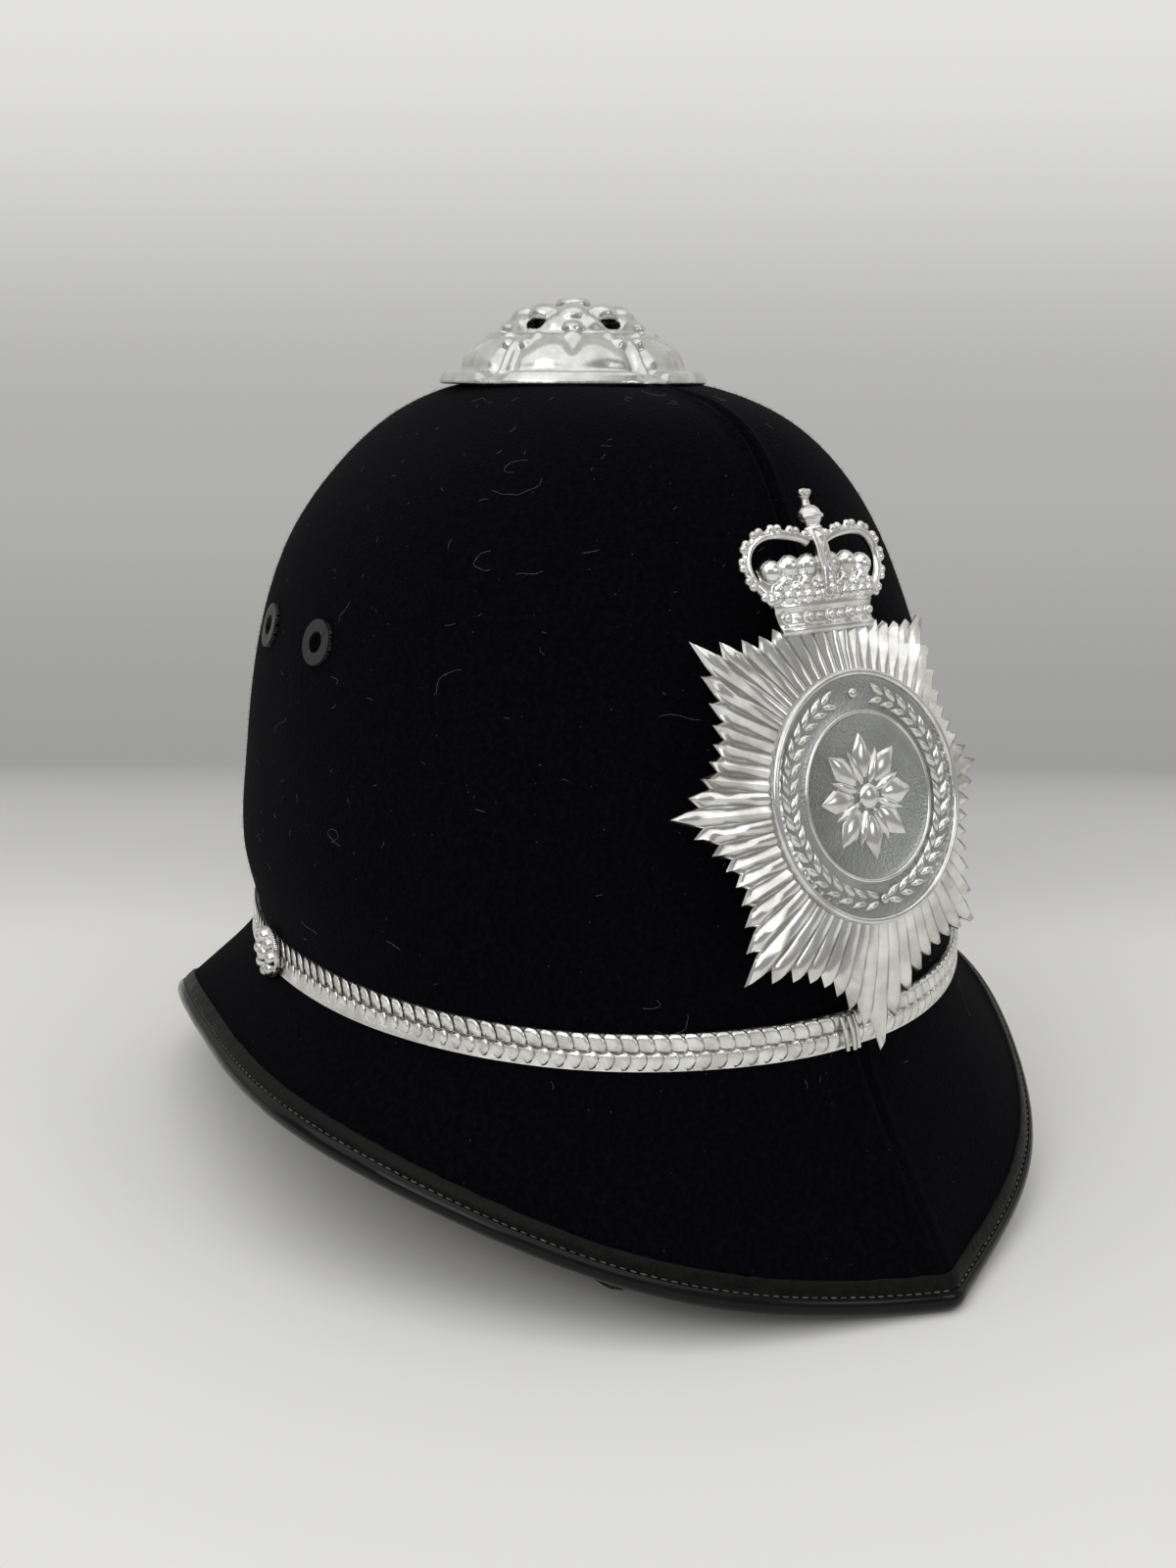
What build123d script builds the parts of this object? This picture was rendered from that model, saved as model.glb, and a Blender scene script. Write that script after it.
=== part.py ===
"""Custodian police helmet: cloth-covered hard shell with its badge, vent rose, lining and chin strap.

Millimetres. +Z is up, the front is -Y, the wearer's right is -X. The origin lies on the table
under the middle of the helmet's outline.
"""
import math
import os

from build123d import *

os.makedirs("parts", exist_ok=True)

# Overall outline
helmet_length = 290.4
brim_side_reach = 113.4
crown_width = 188.0
crown_front = 109.5
crown_rear = 105.5
band_level = 55.3
crown_height = 152.7
side_arch = 33.8
rose_axis_y = 9.0

# Walls, from the cloth inwards
cloth_wall = 1.2
glue_gap = 0.1
shell_wall = 2.0
lining_wall = 0.6
piece_gap = 0.3
overrun = 20.0
# How a point on the curved wall is found: halvings of its spline, and turn to each side for its slope
level_search_steps = 24
wall_sample_turn = 3.0

# The crown's levels as shares of its height, and its reach there as shares of the reach at the band
level_shares = (0.0, 0.155, 0.309, 0.463, 0.619, 0.743, 0.846, 0.929, 0.984)
half_width_shares = (1.0, 1.019, 1.009, 0.975, 0.918, 0.833, 0.702, 0.545, 0.402)
front_shares = (1.0, 0.983, 0.945, 0.889, 0.810, 0.745, 0.684, 0.594, 0.422)
rear_shares = (1.0, 0.995, 0.979, 0.943, 0.881, 0.808, 0.725, 0.622, 0.428)
corner_fullness_share = 0.012
vent_hole_radius = 11.6

# The brim's edge at every section about the rose axis: swell from the side's reach to the front's or
# the back's, and rise towards the side arch
section_step = 15
brim_swell_shares = (1.0, 0.74, 0.576, 0.40, 0.292, 0.147, 0.0, -0.066, 0.132, 0.44, 0.74, 0.934, 1.0)
brim_rise_shares = (0.0, 0.12, 0.35, 0.63, 0.88, 0.99, 1.0, 0.98, 0.90, 0.62, 0.24, 0.045, 0.0)
# A brim section between the band and its edge: how far down, and how far out
brim_down_shares = (0.22, 0.50, 0.78)
brim_out_shares = (0.15, 0.44, 0.755)

# Binding with its rolled bead
bead_radius = 3.1
bead_set_out = 0.9
binding_wall = 0.7
flange_top = 6.0
flange_under = 7.0
edge_clearance = 0.1
binding_joint_azimuth = 75

# Bright band
band_height = 9.2
band_wall = 2.0
band_gap = 0.15
clip_width = 7.0
clip_wall = 0.6

# Star plate, its medallion and the crown above it
badge_height = 116.0
badge_standoff = 6.0
badge_bend_radius = 125.0
badge_steps = 9
plate_wall = 1.3
star_reaches = (54.0, 52.0, 49.0, 52.5, 57.0)
rays_per_point = 8
ray_length_shares = (1.0, 0.925, 0.875, 0.84, 0.815)
ray_notch_share = 0.955
medallion_radius = 29.7
medallion_rise = 2.6
rim_width = 1.6
field_radius = 19.7
field_drop = 0.9
emblem_base = 152.5
emblem_wall = 3.2
emblem_band_height = 7.5
emblem_base_half = 14.2
emblem_band_half = 15.6
cap_half_width = 17.0
cap_half_height = 7.6
arch_half_width = 11.4
arch_half_height = 9.4
arch_bar = 2.8
orb_radius = 2.9
finial_radius = 1.7
post_radius = 1.5
post_spread = 14.0
post_clearance = 0.2
washer_radius = 4.4
washer_wall = 1.2
nut_radius = 3.4
nut_height = 2.2
seat_gap = 0.1

# Vent eyelets
eyelet_azimuths = (81, 101.5)
eyelet_height = 146.3
eyelet_flange_radius = 5.8
eyelet_bore = 2.7
eyelet_barrel = 3.5
eyelet_rise = 1.0

# Side rosettes and their shanks
rosette_azimuth = 95
rosette_radius = 7.2
rosette_base = 1.2
rosette_petals = 8
petal_radius = 2.1
petal_ring = 4.8
rosette_boss = 2.7
shank_radius = 2.0

# Rose ventilator and what holds it
rose_level = 208.0
rose_radius = 36.7
rose_wall = 0.9
rose_radii = (30.5, 24.6, 19.6, 15.6, 12.6, 5.2)
rose_rises = (4.6, 8.8, 12.2, 15.9, 19.0, 20.2)
rose_rim = 1.0
rose_petals = 5
outer_petal_ring = 21.5
outer_petal_radius = 10.0
outer_petal_rise = 0.9
inner_petal_ring = 10.6
inner_petal_radius = 4.3
inner_petal_rise = 16.6
vent_slot_radius = 2.1
vent_slot_ring = 13.4
vent_slot_rise = 15.6
button_radius = 4.8
button_rise = 22.4
button_round_share = 0.8
stud_radius = 2.5
stud_end = 187.0
collar_radius = 11.3
collar_wall = 1.0
collar_flange = 15.5
collar_flange_wall = 0.8
collar_end = 203.0
bridge_length = 38.0
bridge_width = 9.0
bridge_wall = 1.6
wing_nut_radius = 5.5
wing_nut_height = 6.0
wing_span = 24.0
wing_height = 9.0
wing_angle = 60
wing_wall = 2.2

# Inside: sweatband, its spacers and the crown pad
sweatband_gap = 6.0
sweatband_wall = 1.6
sweatband_low = 48.2
sweatband_high = 92.0
sweatband_taper = 2.0
spacer_azimuths = (22, 62, 122, 158)
spacer_width = 16.0
spacer_low = 57.0
spacer_high = 79.0
pad_radius = 46.0
pad_bore = 21.0
pad_low = 185.0

# Chin strap
strap_wall = 2.2
strap_width = 15.5
strap_pivot_height = 40.0
strap_bend_radius = 145.0
strap_tail = 9.0
tab_wall = 1.2
tab_width = 13.0
rivet_radius = 1.6
rivet_play = 0.06
rivet_head_radius = 3.6
rivet_head = 1.0
long_bend = 45.0
long_end_y = -93.5
long_end_slope = 28.48
long_sag = 5.6
sag_nudge = 0.01
floor_gap = 0.35
point_length = 9.0
point_half = 2.0
strap_hole_radius = 1.4
strap_hole_count = 5
strap_hole_pitch = 11.0
short_bend = 18.0
short_straight = 36.0
short_slope = 17.8
loop_radius = 3.4
bar_radius = 1.2
bar_clearance = 0.3
frame_half_width = 11.2
frame_length = 15.6
frame_bar = 1.7
frame_wall = 2.4
prong_half = 1.4
prong_wall = 1.4
prong_notch = 2.2
keeper_length = 6.0
keeper_wall = 1.5
keeper_clearance = 0.4
keeper_back = 14.0

layer_thickness = cloth_wall + glue_gap + shell_wall + glue_gap + lining_wall
shell_depth = cloth_wall + glue_gap
lining_depth = shell_depth + shell_wall + glue_gap
binding_half = layer_thickness / 2 + edge_clearance + binding_wall
bead_reach = bead_set_out + bead_radius


def share_at(azimuth, shares):
    """Share at an azimuth of a table by sections, mirrored past the front and the back."""
    azimuth = abs(azimuth)
    if azimuth > 180:
        azimuth = 360 - azimuth
    index = min(int(azimuth // section_step), len(shares) - 2)
    blend = azimuth / section_step - index
    return shares[index] + (shares[index + 1] - shares[index]) * blend


def outline_reach(azimuth, half_width, front, rear):
    """Distance from the rose axis to a level's outline, given its reach to the side, front and rear."""
    half_length = (front + rear) / 2
    shift = (front - rear) / 2
    side = math.sin(math.radians(azimuth))
    ahead = math.cos(math.radians(azimuth))
    a = (side / half_width) ** 2 + (ahead / half_length) ** 2
    b = -ahead * shift / half_length**2
    c = (shift / half_length) ** 2 - 1
    reach = (math.sqrt(b * b - a * c) - b) / a
    return reach * (1 + corner_fullness_share * math.sin(2 * math.radians(azimuth)) ** 2)


def crown_points(azimuth):
    """Cloth surface in the radial plane, from the vent hole down to the band."""
    points = [Vector(vent_hole_radius - glue_gap, band_level + crown_height)]
    rows = list(zip(level_shares, half_width_shares, front_shares, rear_shares))
    for level, half, front, rear in reversed(rows):
        reach = outline_reach(
            azimuth,
            half * crown_width / 2,
            front * (crown_front + rose_axis_y),
            rear * (crown_rear - rose_axis_y),
        )
        points.append(Vector(reach, band_level + level * crown_height))
    return points


def nose_point(azimuth):
    """Outermost point of the bead in the radial plane."""
    if math.cos(math.radians(azimuth)) > 0:
        far_reach = helmet_length / 2 + rose_axis_y
    else:
        far_reach = helmet_length / 2 - rose_axis_y
    swell = share_at(azimuth, brim_swell_shares)
    rise = share_at(azimuth, brim_rise_shares)
    return Vector(brim_side_reach + (far_reach - brim_side_reach) * swell, rise * side_arch)


def edge_frame(azimuth):
    """Middle of the layered edge, the direction out of it and the direction off the cloth."""
    nose = nose_point(azimuth)
    band_point = crown_points(azimuth)[-1]
    middle = Vector(
        band_point.X + (nose.X - band_point.X) * brim_out_shares[1],
        band_point.Y + (nose.Y - band_point.Y) * brim_down_shares[1],
    )
    outward = (nose - middle).normalized()
    upward = Vector(-outward.Y, outward.X)
    return nose - outward * bead_reach, outward, upward


def cloth_points(azimuth):
    """Cloth surface in the radial plane, from the vent hole down to the brim's edge."""
    points = crown_points(azimuth)
    edge, outward, upward = edge_frame(azimuth)
    start = points[-1]
    end = edge + upward * layer_thickness / 2
    for down, out in zip(brim_down_shares, brim_out_shares):
        points.append(Vector(start.X + (end.X - start.X) * out, start.Y + (end.Y - start.Y) * down))
    points.append(end)
    return points


def layer_points(azimuth, depth, beyond=0.0):
    """The cloth surface moved inwards by a depth, square to itself, and drawn out past the edge."""
    points = cloth_points(azimuth)
    outward = edge_frame(azimuth)[1]
    moved = []
    for index, point in enumerate(points):
        if index == 0:
            along = Vector(1, 0)
        elif index == len(points) - 1:
            along = outward
        else:
            along = (points[index + 1] - points[index - 1]).normalized()
        moved.append(point - Vector(-along.Y, along.X) * depth)
    moved[-1] = moved[-1] + outward * beyond
    return moved


def radial_plane(azimuth):
    """Upright plane through the rose axis, its x direction pointing away from the axis."""
    side = math.sin(math.radians(azimuth))
    ahead = math.cos(math.radians(azimuth))
    return Plane(origin=(0, rose_axis_y, 0), x_dir=(side, -ahead, 0), z_dir=(-ahead, -side, 0))


around_half = range(-section_step, 180 + 2 * section_step, section_step)


def skin_sections(depth, wall, beyond=0.0):
    """Sections of a wall that lies a depth under the cloth surface."""
    sections = []
    for azimuth in around_half:
        outer = layer_points(azimuth, depth, beyond)
        inner = layer_points(azimuth, depth + wall, beyond)
        with BuildSketch(radial_plane(azimuth)) as section:
            with BuildLine():
                Spline(*outer)
                Line(outer[-1], inner[-1])
                Spline(*inner)
                Line(inner[0], outer[0])
            make_face()
        sections.append(section.sketch)
    return sections


def core_sections(depth):
    """Sections of the room inside a layer of the wall, around a narrow core."""
    sections = []
    core = vent_hole_radius / 2
    for azimuth in around_half:
        outer = layer_points(azimuth, depth)
        with BuildSketch(radial_plane(azimuth)) as section:
            with BuildLine():
                Spline(*outer)
                Polyline(outer[-1], (core, outer[-1].Y), (core, outer[0].Y), outer[0])
            make_face()
        sections.append(section.sketch)
    return sections


def binding_sections(first, last):
    """Sections of the binding between two azimuths: two flanges and the bead round the edge."""
    sections = []
    bead_start = bead_set_out - math.sqrt(bead_radius**2 - binding_half**2)
    for azimuth in range(first, last + section_step, section_step):
        edge, outward, upward = edge_frame(azimuth)

        def at(out, up):
            return edge + outward * out + upward * up

        with BuildSketch(radial_plane(azimuth)) as section:
            with BuildLine():
                Line(at(-flange_top, binding_half), at(bead_start, binding_half))
                ThreePointArc(at(bead_start, binding_half), at(bead_reach, 0), at(bead_start, -binding_half))
                Line(at(bead_start, -binding_half), at(-flange_under, -binding_half))
                Line(at(-flange_under, -binding_half), at(-flange_top, binding_half))
            make_face()
        sections.append(section.sketch)
    return sections


def skin_reach(azimuth, height, depth=0.0):
    """Distance from the rose axis to a layer at a height of the crown."""
    curve = Edge.make_spline([Vector(point.X, point.Y) for point in layer_points(azimuth, depth)])
    low, high = 0.0, 1.0
    for _ in range(level_search_steps):
        middle = (low + high) / 2
        if curve.position_at(middle).Y > height:
            low = middle
        else:
            high = middle
    return curve.position_at(low).X


def skin_point(azimuth, height, depth=0.0):
    """Point on a layer of the wall."""
    reach = skin_reach(azimuth, height, depth)
    angle = math.radians(azimuth)
    return Vector(reach * math.sin(angle), rose_axis_y - reach * math.cos(angle), height)


def wall_plane(azimuth, height, upright=False):
    """Plane on the cloth, its normal pointing out of the wall and its x direction level."""
    turn = wall_sample_turn
    rise = band_height / 2
    across = skin_point(azimuth + turn, height) - skin_point(azimuth - turn, height)
    up = Vector(0, 0, 1) if upright else skin_point(azimuth, height + rise) - skin_point(azimuth, height - rise)
    normal = across.cross(up)
    return Plane(origin=skin_point(azimuth, height), x_dir=across, z_dir=normal)


# Hard shell, crown and brim in one, with holes for all that passes through it
rosette_plane = wall_plane(rosette_azimuth, band_level + band_height / 2, upright=True)
eyelet_planes = [wall_plane(azimuth, eyelet_height) for azimuth in eyelet_azimuths]
wall_depth = lining_depth + lining_wall
badge_front_y = rose_axis_y - skin_reach(0, badge_height) - badge_standoff

shell_rows = skin_sections(shell_depth, shell_wall)
with BuildPart() as wall_holes:
    with Locations(rosette_plane):
        Cylinder(shank_radius + post_clearance, 2 * overrun)
    for eyelet_plane in eyelet_planes:
        with Locations(eyelet_plane):
            Cylinder(eyelet_barrel + post_clearance, 2 * overrun)
    with BuildSketch(Plane.XZ.offset(crown_front)) as post_holes:
        with Locations((post_spread, badge_height)):
            Circle(post_radius + post_clearance)
    extrude(amount=-2 * overrun)

with BuildPart() as shell:
    loft(shell_rows)
    split(bisect_by=Plane.YZ, keep=Keep.TOP)
    add(wall_holes.part, mode=Mode.SUBTRACT)
    mirror(about=Plane.YZ)
shell.part.label = "shell"
export_step(shell.part, "parts/shell.step")

# Cloth cover in two panels that meet at the front and back seams
cloth_rows = skin_sections(0, cloth_wall)
with BuildPart() as cloth_cover_left:
    loft(cloth_rows)
    split(bisect_by=Plane.YZ, keep=Keep.TOP)
    add(wall_holes.part, mode=Mode.SUBTRACT)
cloth_cover_left.part.label = "cloth_cover_left"
export_step(cloth_cover_left.part, "parts/cloth_cover_left.step")

with BuildPart() as cloth_cover_right:
    mirror(cloth_cover_left.part, about=Plane.YZ)
cloth_cover_right.part.label = "cloth_cover_right"
export_step(cloth_cover_right.part, "parts/cloth_cover_right.step")

# Lining: cloth inside the crown, leathercloth under the brim
lining_rows = skin_sections(lining_depth, lining_wall)
with BuildPart() as lining_skin:
    loft(lining_rows)
    split(bisect_by=Plane.YZ, keep=Keep.TOP)
    add(wall_holes.part, mode=Mode.SUBTRACT)
    mirror(about=Plane.YZ)

with BuildPart() as crown_lining:
    add(lining_skin.part)
    split(bisect_by=Plane.XY.offset(sweatband_high + piece_gap), keep=Keep.TOP)
crown_lining.part.label = "crown_lining"
export_step(crown_lining.part, "parts/crown_lining.step")

with BuildPart() as brim_lining:
    add(lining_skin.part)
    split(bisect_by=Plane.XY.offset(band_level - shank_radius), keep=Keep.BOTTOM)
brim_lining.part.label = "brim_lining"
export_step(brim_lining.part, "parts/brim_lining.step")

# Leather binding round the brim's edge, flat where it stands on the table
edge_slot_rows = skin_sections(-edge_clearance, layer_thickness + 2 * edge_clearance, edge_clearance)
with BuildPart() as edge_slot:
    loft(edge_slot_rows)
    split(bisect_by=Plane.YZ, keep=Keep.TOP)
    split(bisect_by=Plane.XY.offset(band_level), keep=Keep.BOTTOM)

binding_front_rows = binding_sections(-section_step, binding_joint_azimuth)
with BuildPart() as binding_front:
    loft(binding_front_rows)
    split(bisect_by=Plane.YZ, keep=Keep.TOP)
    add(edge_slot.part, mode=Mode.SUBTRACT)
    mirror(about=Plane.YZ)
    split(bisect_by=Plane.XY, keep=Keep.TOP)
binding_front.part.label = "binding_front"
export_step(binding_front.part, "parts/binding_front.step")

binding_rear_rows = binding_sections(binding_joint_azimuth, 180 + section_step)
with BuildPart() as binding_rear:
    loft(binding_rear_rows)
    split(bisect_by=Plane.YZ, keep=Keep.TOP)
    add(edge_slot.part, mode=Mode.SUBTRACT)
    mirror(about=Plane.YZ)
    split(bisect_by=Plane.XY, keep=Keep.TOP)
binding_rear.part.label = "binding_rear"
export_step(binding_rear.part, "parts/binding_rear.step")

# Bright band round the foot of the crown
band_rows = skin_sections(-band_gap - band_wall, band_wall)
with BuildPart() as helmet_band:
    loft(band_rows)
    split(bisect_by=Plane.YZ, keep=Keep.TOP)
    split(bisect_by=Plane.XY.offset(band_level), keep=Keep.TOP)
    split(bisect_by=Plane.XY.offset(band_level + band_height), keep=Keep.BOTTOM)
    with Locations(rosette_plane):
        Cylinder(shank_radius + post_clearance, overrun, mode=Mode.SUBTRACT)
    mirror(about=Plane.YZ)
helmet_band.part.label = "helmet_band"
export_step(helmet_band.part, "parts/helmet_band.step")

# Clip that closes the band under the star's lowest point
band_front_y = rose_axis_y - skin_reach(0, band_level) - band_gap - band_wall
with BuildPart() as band_clip:
    with BuildSketch(Plane.YZ) as clip_section:
        with Locations((band_front_y - clip_wall / 2 - 2 * seat_gap, band_level + band_height / 2)):
            Rectangle(clip_wall, band_height + 2 * clip_wall)
    extrude(amount=clip_width / 2, both=True)
band_clip.part.label = "band_clip"
export_step(band_clip.part, "parts/band_clip.step")

# Bodies of revolution that bend the badge as the crown does
badge_low = band_level - band_height
badge_high = emblem_base + emblem_band_height + 4 * arch_half_height
bend_axis_y = badge_front_y + badge_bend_radius
bend_axis = Axis((0, bend_axis_y, 0), (0, 0, 1))


def bent_profile(lift):
    """Profile behind a surface that stands a lift in front of the plate's back."""
    heights = [badge_low + (badge_high - badge_low) * step / badge_steps for step in range(badge_steps + 1)]
    points = [Vector(rose_axis_y - skin_reach(0, height) - badge_standoff - lift, height) for height in heights]
    with BuildSketch(Plane.YZ) as profile:
        with BuildLine():
            Spline(*points)
            Polyline(points[-1], (bend_axis_y, badge_high), (bend_axis_y, badge_low), points[0])
        make_face()
    return profile.sketch


back_profile = bent_profile(0)
with BuildPart() as behind_plate:
    revolve(back_profile, axis=bend_axis)

face_profile = bent_profile(plate_wall)
with BuildPart() as behind_face:
    revolve(face_profile, axis=bend_axis)

emblem_profile = bent_profile(plate_wall + emblem_wall)
with BuildPart() as behind_emblem:
    revolve(emblem_profile, axis=bend_axis)

# Eight-pointed rayed plate
ray_count = 8 * rays_per_point
ray_step = 360 / ray_count


def ray_reach(index):
    """Reach of a ray's tip, counted from the top."""
    turn = (index % ray_count) * ray_step
    turn = min(turn, 360 - turn)
    point_step = 360 / 8
    lower = min(int(turn // point_step), len(star_reaches) - 2)
    blend = turn / point_step - lower
    full = star_reaches[lower] + (star_reaches[lower + 1] - star_reaches[lower]) * blend
    aside = index % rays_per_point
    return full * ray_length_shares[min(aside, rays_per_point - aside)]


star_points = []
for index in range(ray_count):
    tip_turn = math.radians(index * ray_step)
    notch_turn = math.radians((index + 0.5) * ray_step)
    tip = ray_reach(index)
    notch = min(tip, ray_reach(index + 1)) * ray_notch_share
    star_points.append((tip * math.sin(tip_turn), badge_height + tip * math.cos(tip_turn)))
    star_points.append((notch * math.sin(notch_turn), badge_height + notch * math.cos(notch_turn)))

badge_sketch_plane = Plane.XZ.offset(crown_front + 2 * overrun)
badge_sketch_depth = 4 * overrun
with BuildPart() as star_plate:
    with BuildSketch(badge_sketch_plane) as star_outline:
        with BuildLine():
            Polyline(*star_points, close=True)
        make_face()
    extrude(amount=-badge_sketch_depth)
    add(behind_face.part, mode=Mode.INTERSECT)
    add(behind_plate.part, mode=Mode.SUBTRACT)
star_plate.part.label = "star_plate"
export_step(star_plate.part, "parts/star_plate.step")

# Medallion with a raised rim and a raised inner rim, seated on the plate
lean_low = rose_axis_y - skin_reach(0, badge_height - medallion_radius / 2)
lean_high = rose_axis_y - skin_reach(0, badge_height + medallion_radius / 2)
lean = math.atan2(lean_high - lean_low, medallion_radius)
medallion_plane = Plane(
    origin=(0, badge_front_y - plate_wall, badge_height),
    x_dir=(1, 0, 0),
    z_dir=(0, -math.cos(lean), math.sin(lean)),
)
with BuildPart() as badge_medallion:
    with BuildSketch(medallion_plane.offset(medallion_rise)) as medallion_disc:
        Circle(medallion_radius)
    extrude(amount=-overrun / 2)
    with BuildSketch(medallion_plane.offset(medallion_rise)) as medallion_fields:
        Circle(medallion_radius - rim_width)
        Circle(field_radius + rim_width / 2, mode=Mode.SUBTRACT)
        Circle(field_radius - rim_width / 2)
    extrude(amount=-field_drop, mode=Mode.SUBTRACT)
    add(behind_face.part, mode=Mode.SUBTRACT)
badge_medallion.part.label = "badge_medallion"
export_step(badge_medallion.part, "parts/badge_medallion.step")

# Crown with two open arches, a puffed cap, a jewelled band and an orb
emblem_band_top = emblem_base + emblem_band_height
cap_middle = emblem_band_top + cap_half_height / 3
arch_middle = emblem_band_top + arch_half_height - arch_bar
orb_height = arch_middle + arch_half_height + orb_radius
finial_height = orb_height + orb_radius + finial_radius / 2
with BuildPart() as crown_emblem:
    with BuildSketch(badge_sketch_plane) as emblem_outline:
        with BuildLine():
            Polyline(
                (-emblem_base_half, emblem_base),
                (emblem_base_half, emblem_base),
                (emblem_band_half, emblem_band_top),
                (-emblem_band_half, emblem_band_top),
                close=True,
            )
        make_face()
        with Locations((arch_half_width, arch_middle), (-arch_half_width, arch_middle)):
            Ellipse(arch_half_width, arch_half_height)
            Ellipse(arch_half_width - arch_bar, arch_half_height - arch_bar, mode=Mode.SUBTRACT)
        with Locations((0, cap_middle)):
            Ellipse(cap_half_width, cap_half_height)
        with Locations((0, (emblem_band_top + orb_height) / 2)):
            Rectangle(2 * arch_bar, orb_height - emblem_band_top)
        with Locations((0, orb_height)):
            Circle(orb_radius)
        with Locations((0, finial_height)):
            Circle(finial_radius)
    extrude(amount=-badge_sketch_depth)
    add(behind_emblem.part, mode=Mode.INTERSECT)
    add(behind_face.part, mode=Mode.SUBTRACT)
crown_emblem.part.label = "crown_emblem"
export_step(crown_emblem.part, "parts/crown_emblem.step")

# Room inside the lining, to which the inner fixings are fitted
lining_room_rows = core_sections(wall_depth)
with BuildPart() as lining_room:
    loft(lining_room_rows)
    split(bisect_by=Plane.YZ, keep=Keep.TOP)
    mirror(about=Plane.YZ)

shell_room_rows = core_sections(shell_depth + shell_wall)
with BuildPart() as shell_room:
    loft(shell_room_rows)
    split(bisect_by=Plane.YZ, keep=Keep.TOP)
    mirror(about=Plane.YZ)

# Screw posts of the plate, with washers and nuts inside the crown
post_azimuth = math.degrees(math.atan2(post_spread, rose_axis_y - badge_front_y))
washer_face_y = rose_axis_y - math.sqrt(
    skin_reach(post_azimuth, badge_height, wall_depth) ** 2 - post_spread**2
) + washer_wall
nut_face_y = washer_face_y + seat_gap
with BuildPart() as badge_posts:
    with BuildSketch(badge_sketch_plane) as post_circles:
        with Locations((post_spread, badge_height), (-post_spread, badge_height)):
            Circle(post_radius)
    extrude(amount=-(crown_front + 2 * overrun + nut_face_y + nut_height + post_radius))
    add(behind_plate.part, mode=Mode.INTERSECT)
badge_posts.part.label = "badge_posts"
export_step(badge_posts.part, "parts/badge_posts.step")

with BuildPart() as badge_washers:
    with BuildSketch(badge_sketch_plane) as badge_washer_rings:
        with Locations((post_spread, badge_height), (-post_spread, badge_height)):
            Circle(washer_radius)
            Circle(post_radius + seat_gap, mode=Mode.SUBTRACT)
    extrude(amount=-(crown_front + 2 * overrun + washer_face_y))
    add(lining_room.part, mode=Mode.INTERSECT)
badge_washers.part.label = "badge_washers"
export_step(badge_washers.part, "parts/badge_washers.step")

with BuildPart() as badge_nuts:
    with BuildSketch(Plane.XZ.offset(-nut_face_y)) as badge_nut_hexagons:
        with Locations((post_spread, badge_height), (-post_spread, badge_height)):
            RegularPolygon(nut_radius, 6)
            Circle(post_radius + seat_gap / 2, mode=Mode.SUBTRACT)
    extrude(amount=-nut_height)
badge_nuts.part.label = "badge_nuts"
export_step(badge_nuts.part, "parts/badge_nuts.step")

# Vent eyelets, their flanges fitted to the cloth, and their inner washers
with BuildPart() as vent_eyelets:
    for eyelet_plane in eyelet_planes:
        with Locations(eyelet_plane):
            Cylinder(eyelet_flange_radius, 2 * eyelet_rise)
    add(cloth_cover_left.part, mode=Mode.SUBTRACT)
    for eyelet_plane in eyelet_planes:
        with BuildSketch(eyelet_plane.offset(-wall_depth - washer_wall)) as eyelet_barrels:
            Circle(eyelet_barrel)
        extrude(amount=wall_depth + washer_wall + eyelet_rise / 2)
    for eyelet_plane in eyelet_planes:
        with Locations(eyelet_plane):
            Cylinder(eyelet_bore, overrun, mode=Mode.SUBTRACT)
    mirror(about=Plane.YZ)
vent_eyelets.part.label = "vent_eyelets"
export_step(vent_eyelets.part, "parts/vent_eyelets.step")

with BuildPart() as eyelet_washers:
    for eyelet_plane in eyelet_planes:
        with BuildSketch(eyelet_plane.offset(-wall_depth - washer_wall)) as eyelet_rings:
            Circle(eyelet_flange_radius)
            Circle(eyelet_barrel + seat_gap / 2, mode=Mode.SUBTRACT)
        extrude(amount=2 * washer_wall)
    add(lining_room.part, mode=Mode.INTERSECT)
    mirror(about=Plane.YZ)
eyelet_washers.part.label = "eyelet_washers"
export_step(eyelet_washers.part, "parts/eyelet_washers.step")

# Side rosettes over the band, each with a shank that carries the strap tab inside
rosette_seat = band_gap + band_wall + seat_gap
inner_face = shell_depth + shell_wall
tab_outer = inner_face + washer_wall + seat_gap
tab_inner = tab_outer + tab_wall
shank_end = tab_inner + 2 * seat_gap + nut_height
with BuildPart() as side_rosette_left:
    with BuildSketch(rosette_plane.offset(rosette_seat)) as rosette_disc:
        Circle(rosette_radius)
    extrude(amount=rosette_base)
    with Locations(rosette_plane.offset(rosette_seat + rosette_base)):
        Sphere(rosette_boss)
        with PolarLocations(petal_ring, rosette_petals):
            Sphere(petal_radius)
    split(bisect_by=rosette_plane.offset(rosette_seat), keep=Keep.TOP)
    with BuildSketch(rosette_plane.offset(-shank_end)) as rosette_shank:
        Circle(shank_radius)
    extrude(amount=shank_end + rosette_seat + rosette_base)
    add(cloth_cover_left.part, mode=Mode.SUBTRACT)
    add(helmet_band.part, mode=Mode.SUBTRACT)
side_rosette_left.part.label = "side_rosette_left"
export_step(side_rosette_left.part, "parts/side_rosette_left.step")

with BuildPart() as side_rosette_right:
    mirror(side_rosette_left.part, about=Plane.YZ)
side_rosette_right.part.label = "side_rosette_right"
export_step(side_rosette_right.part, "parts/side_rosette_right.step")

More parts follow.
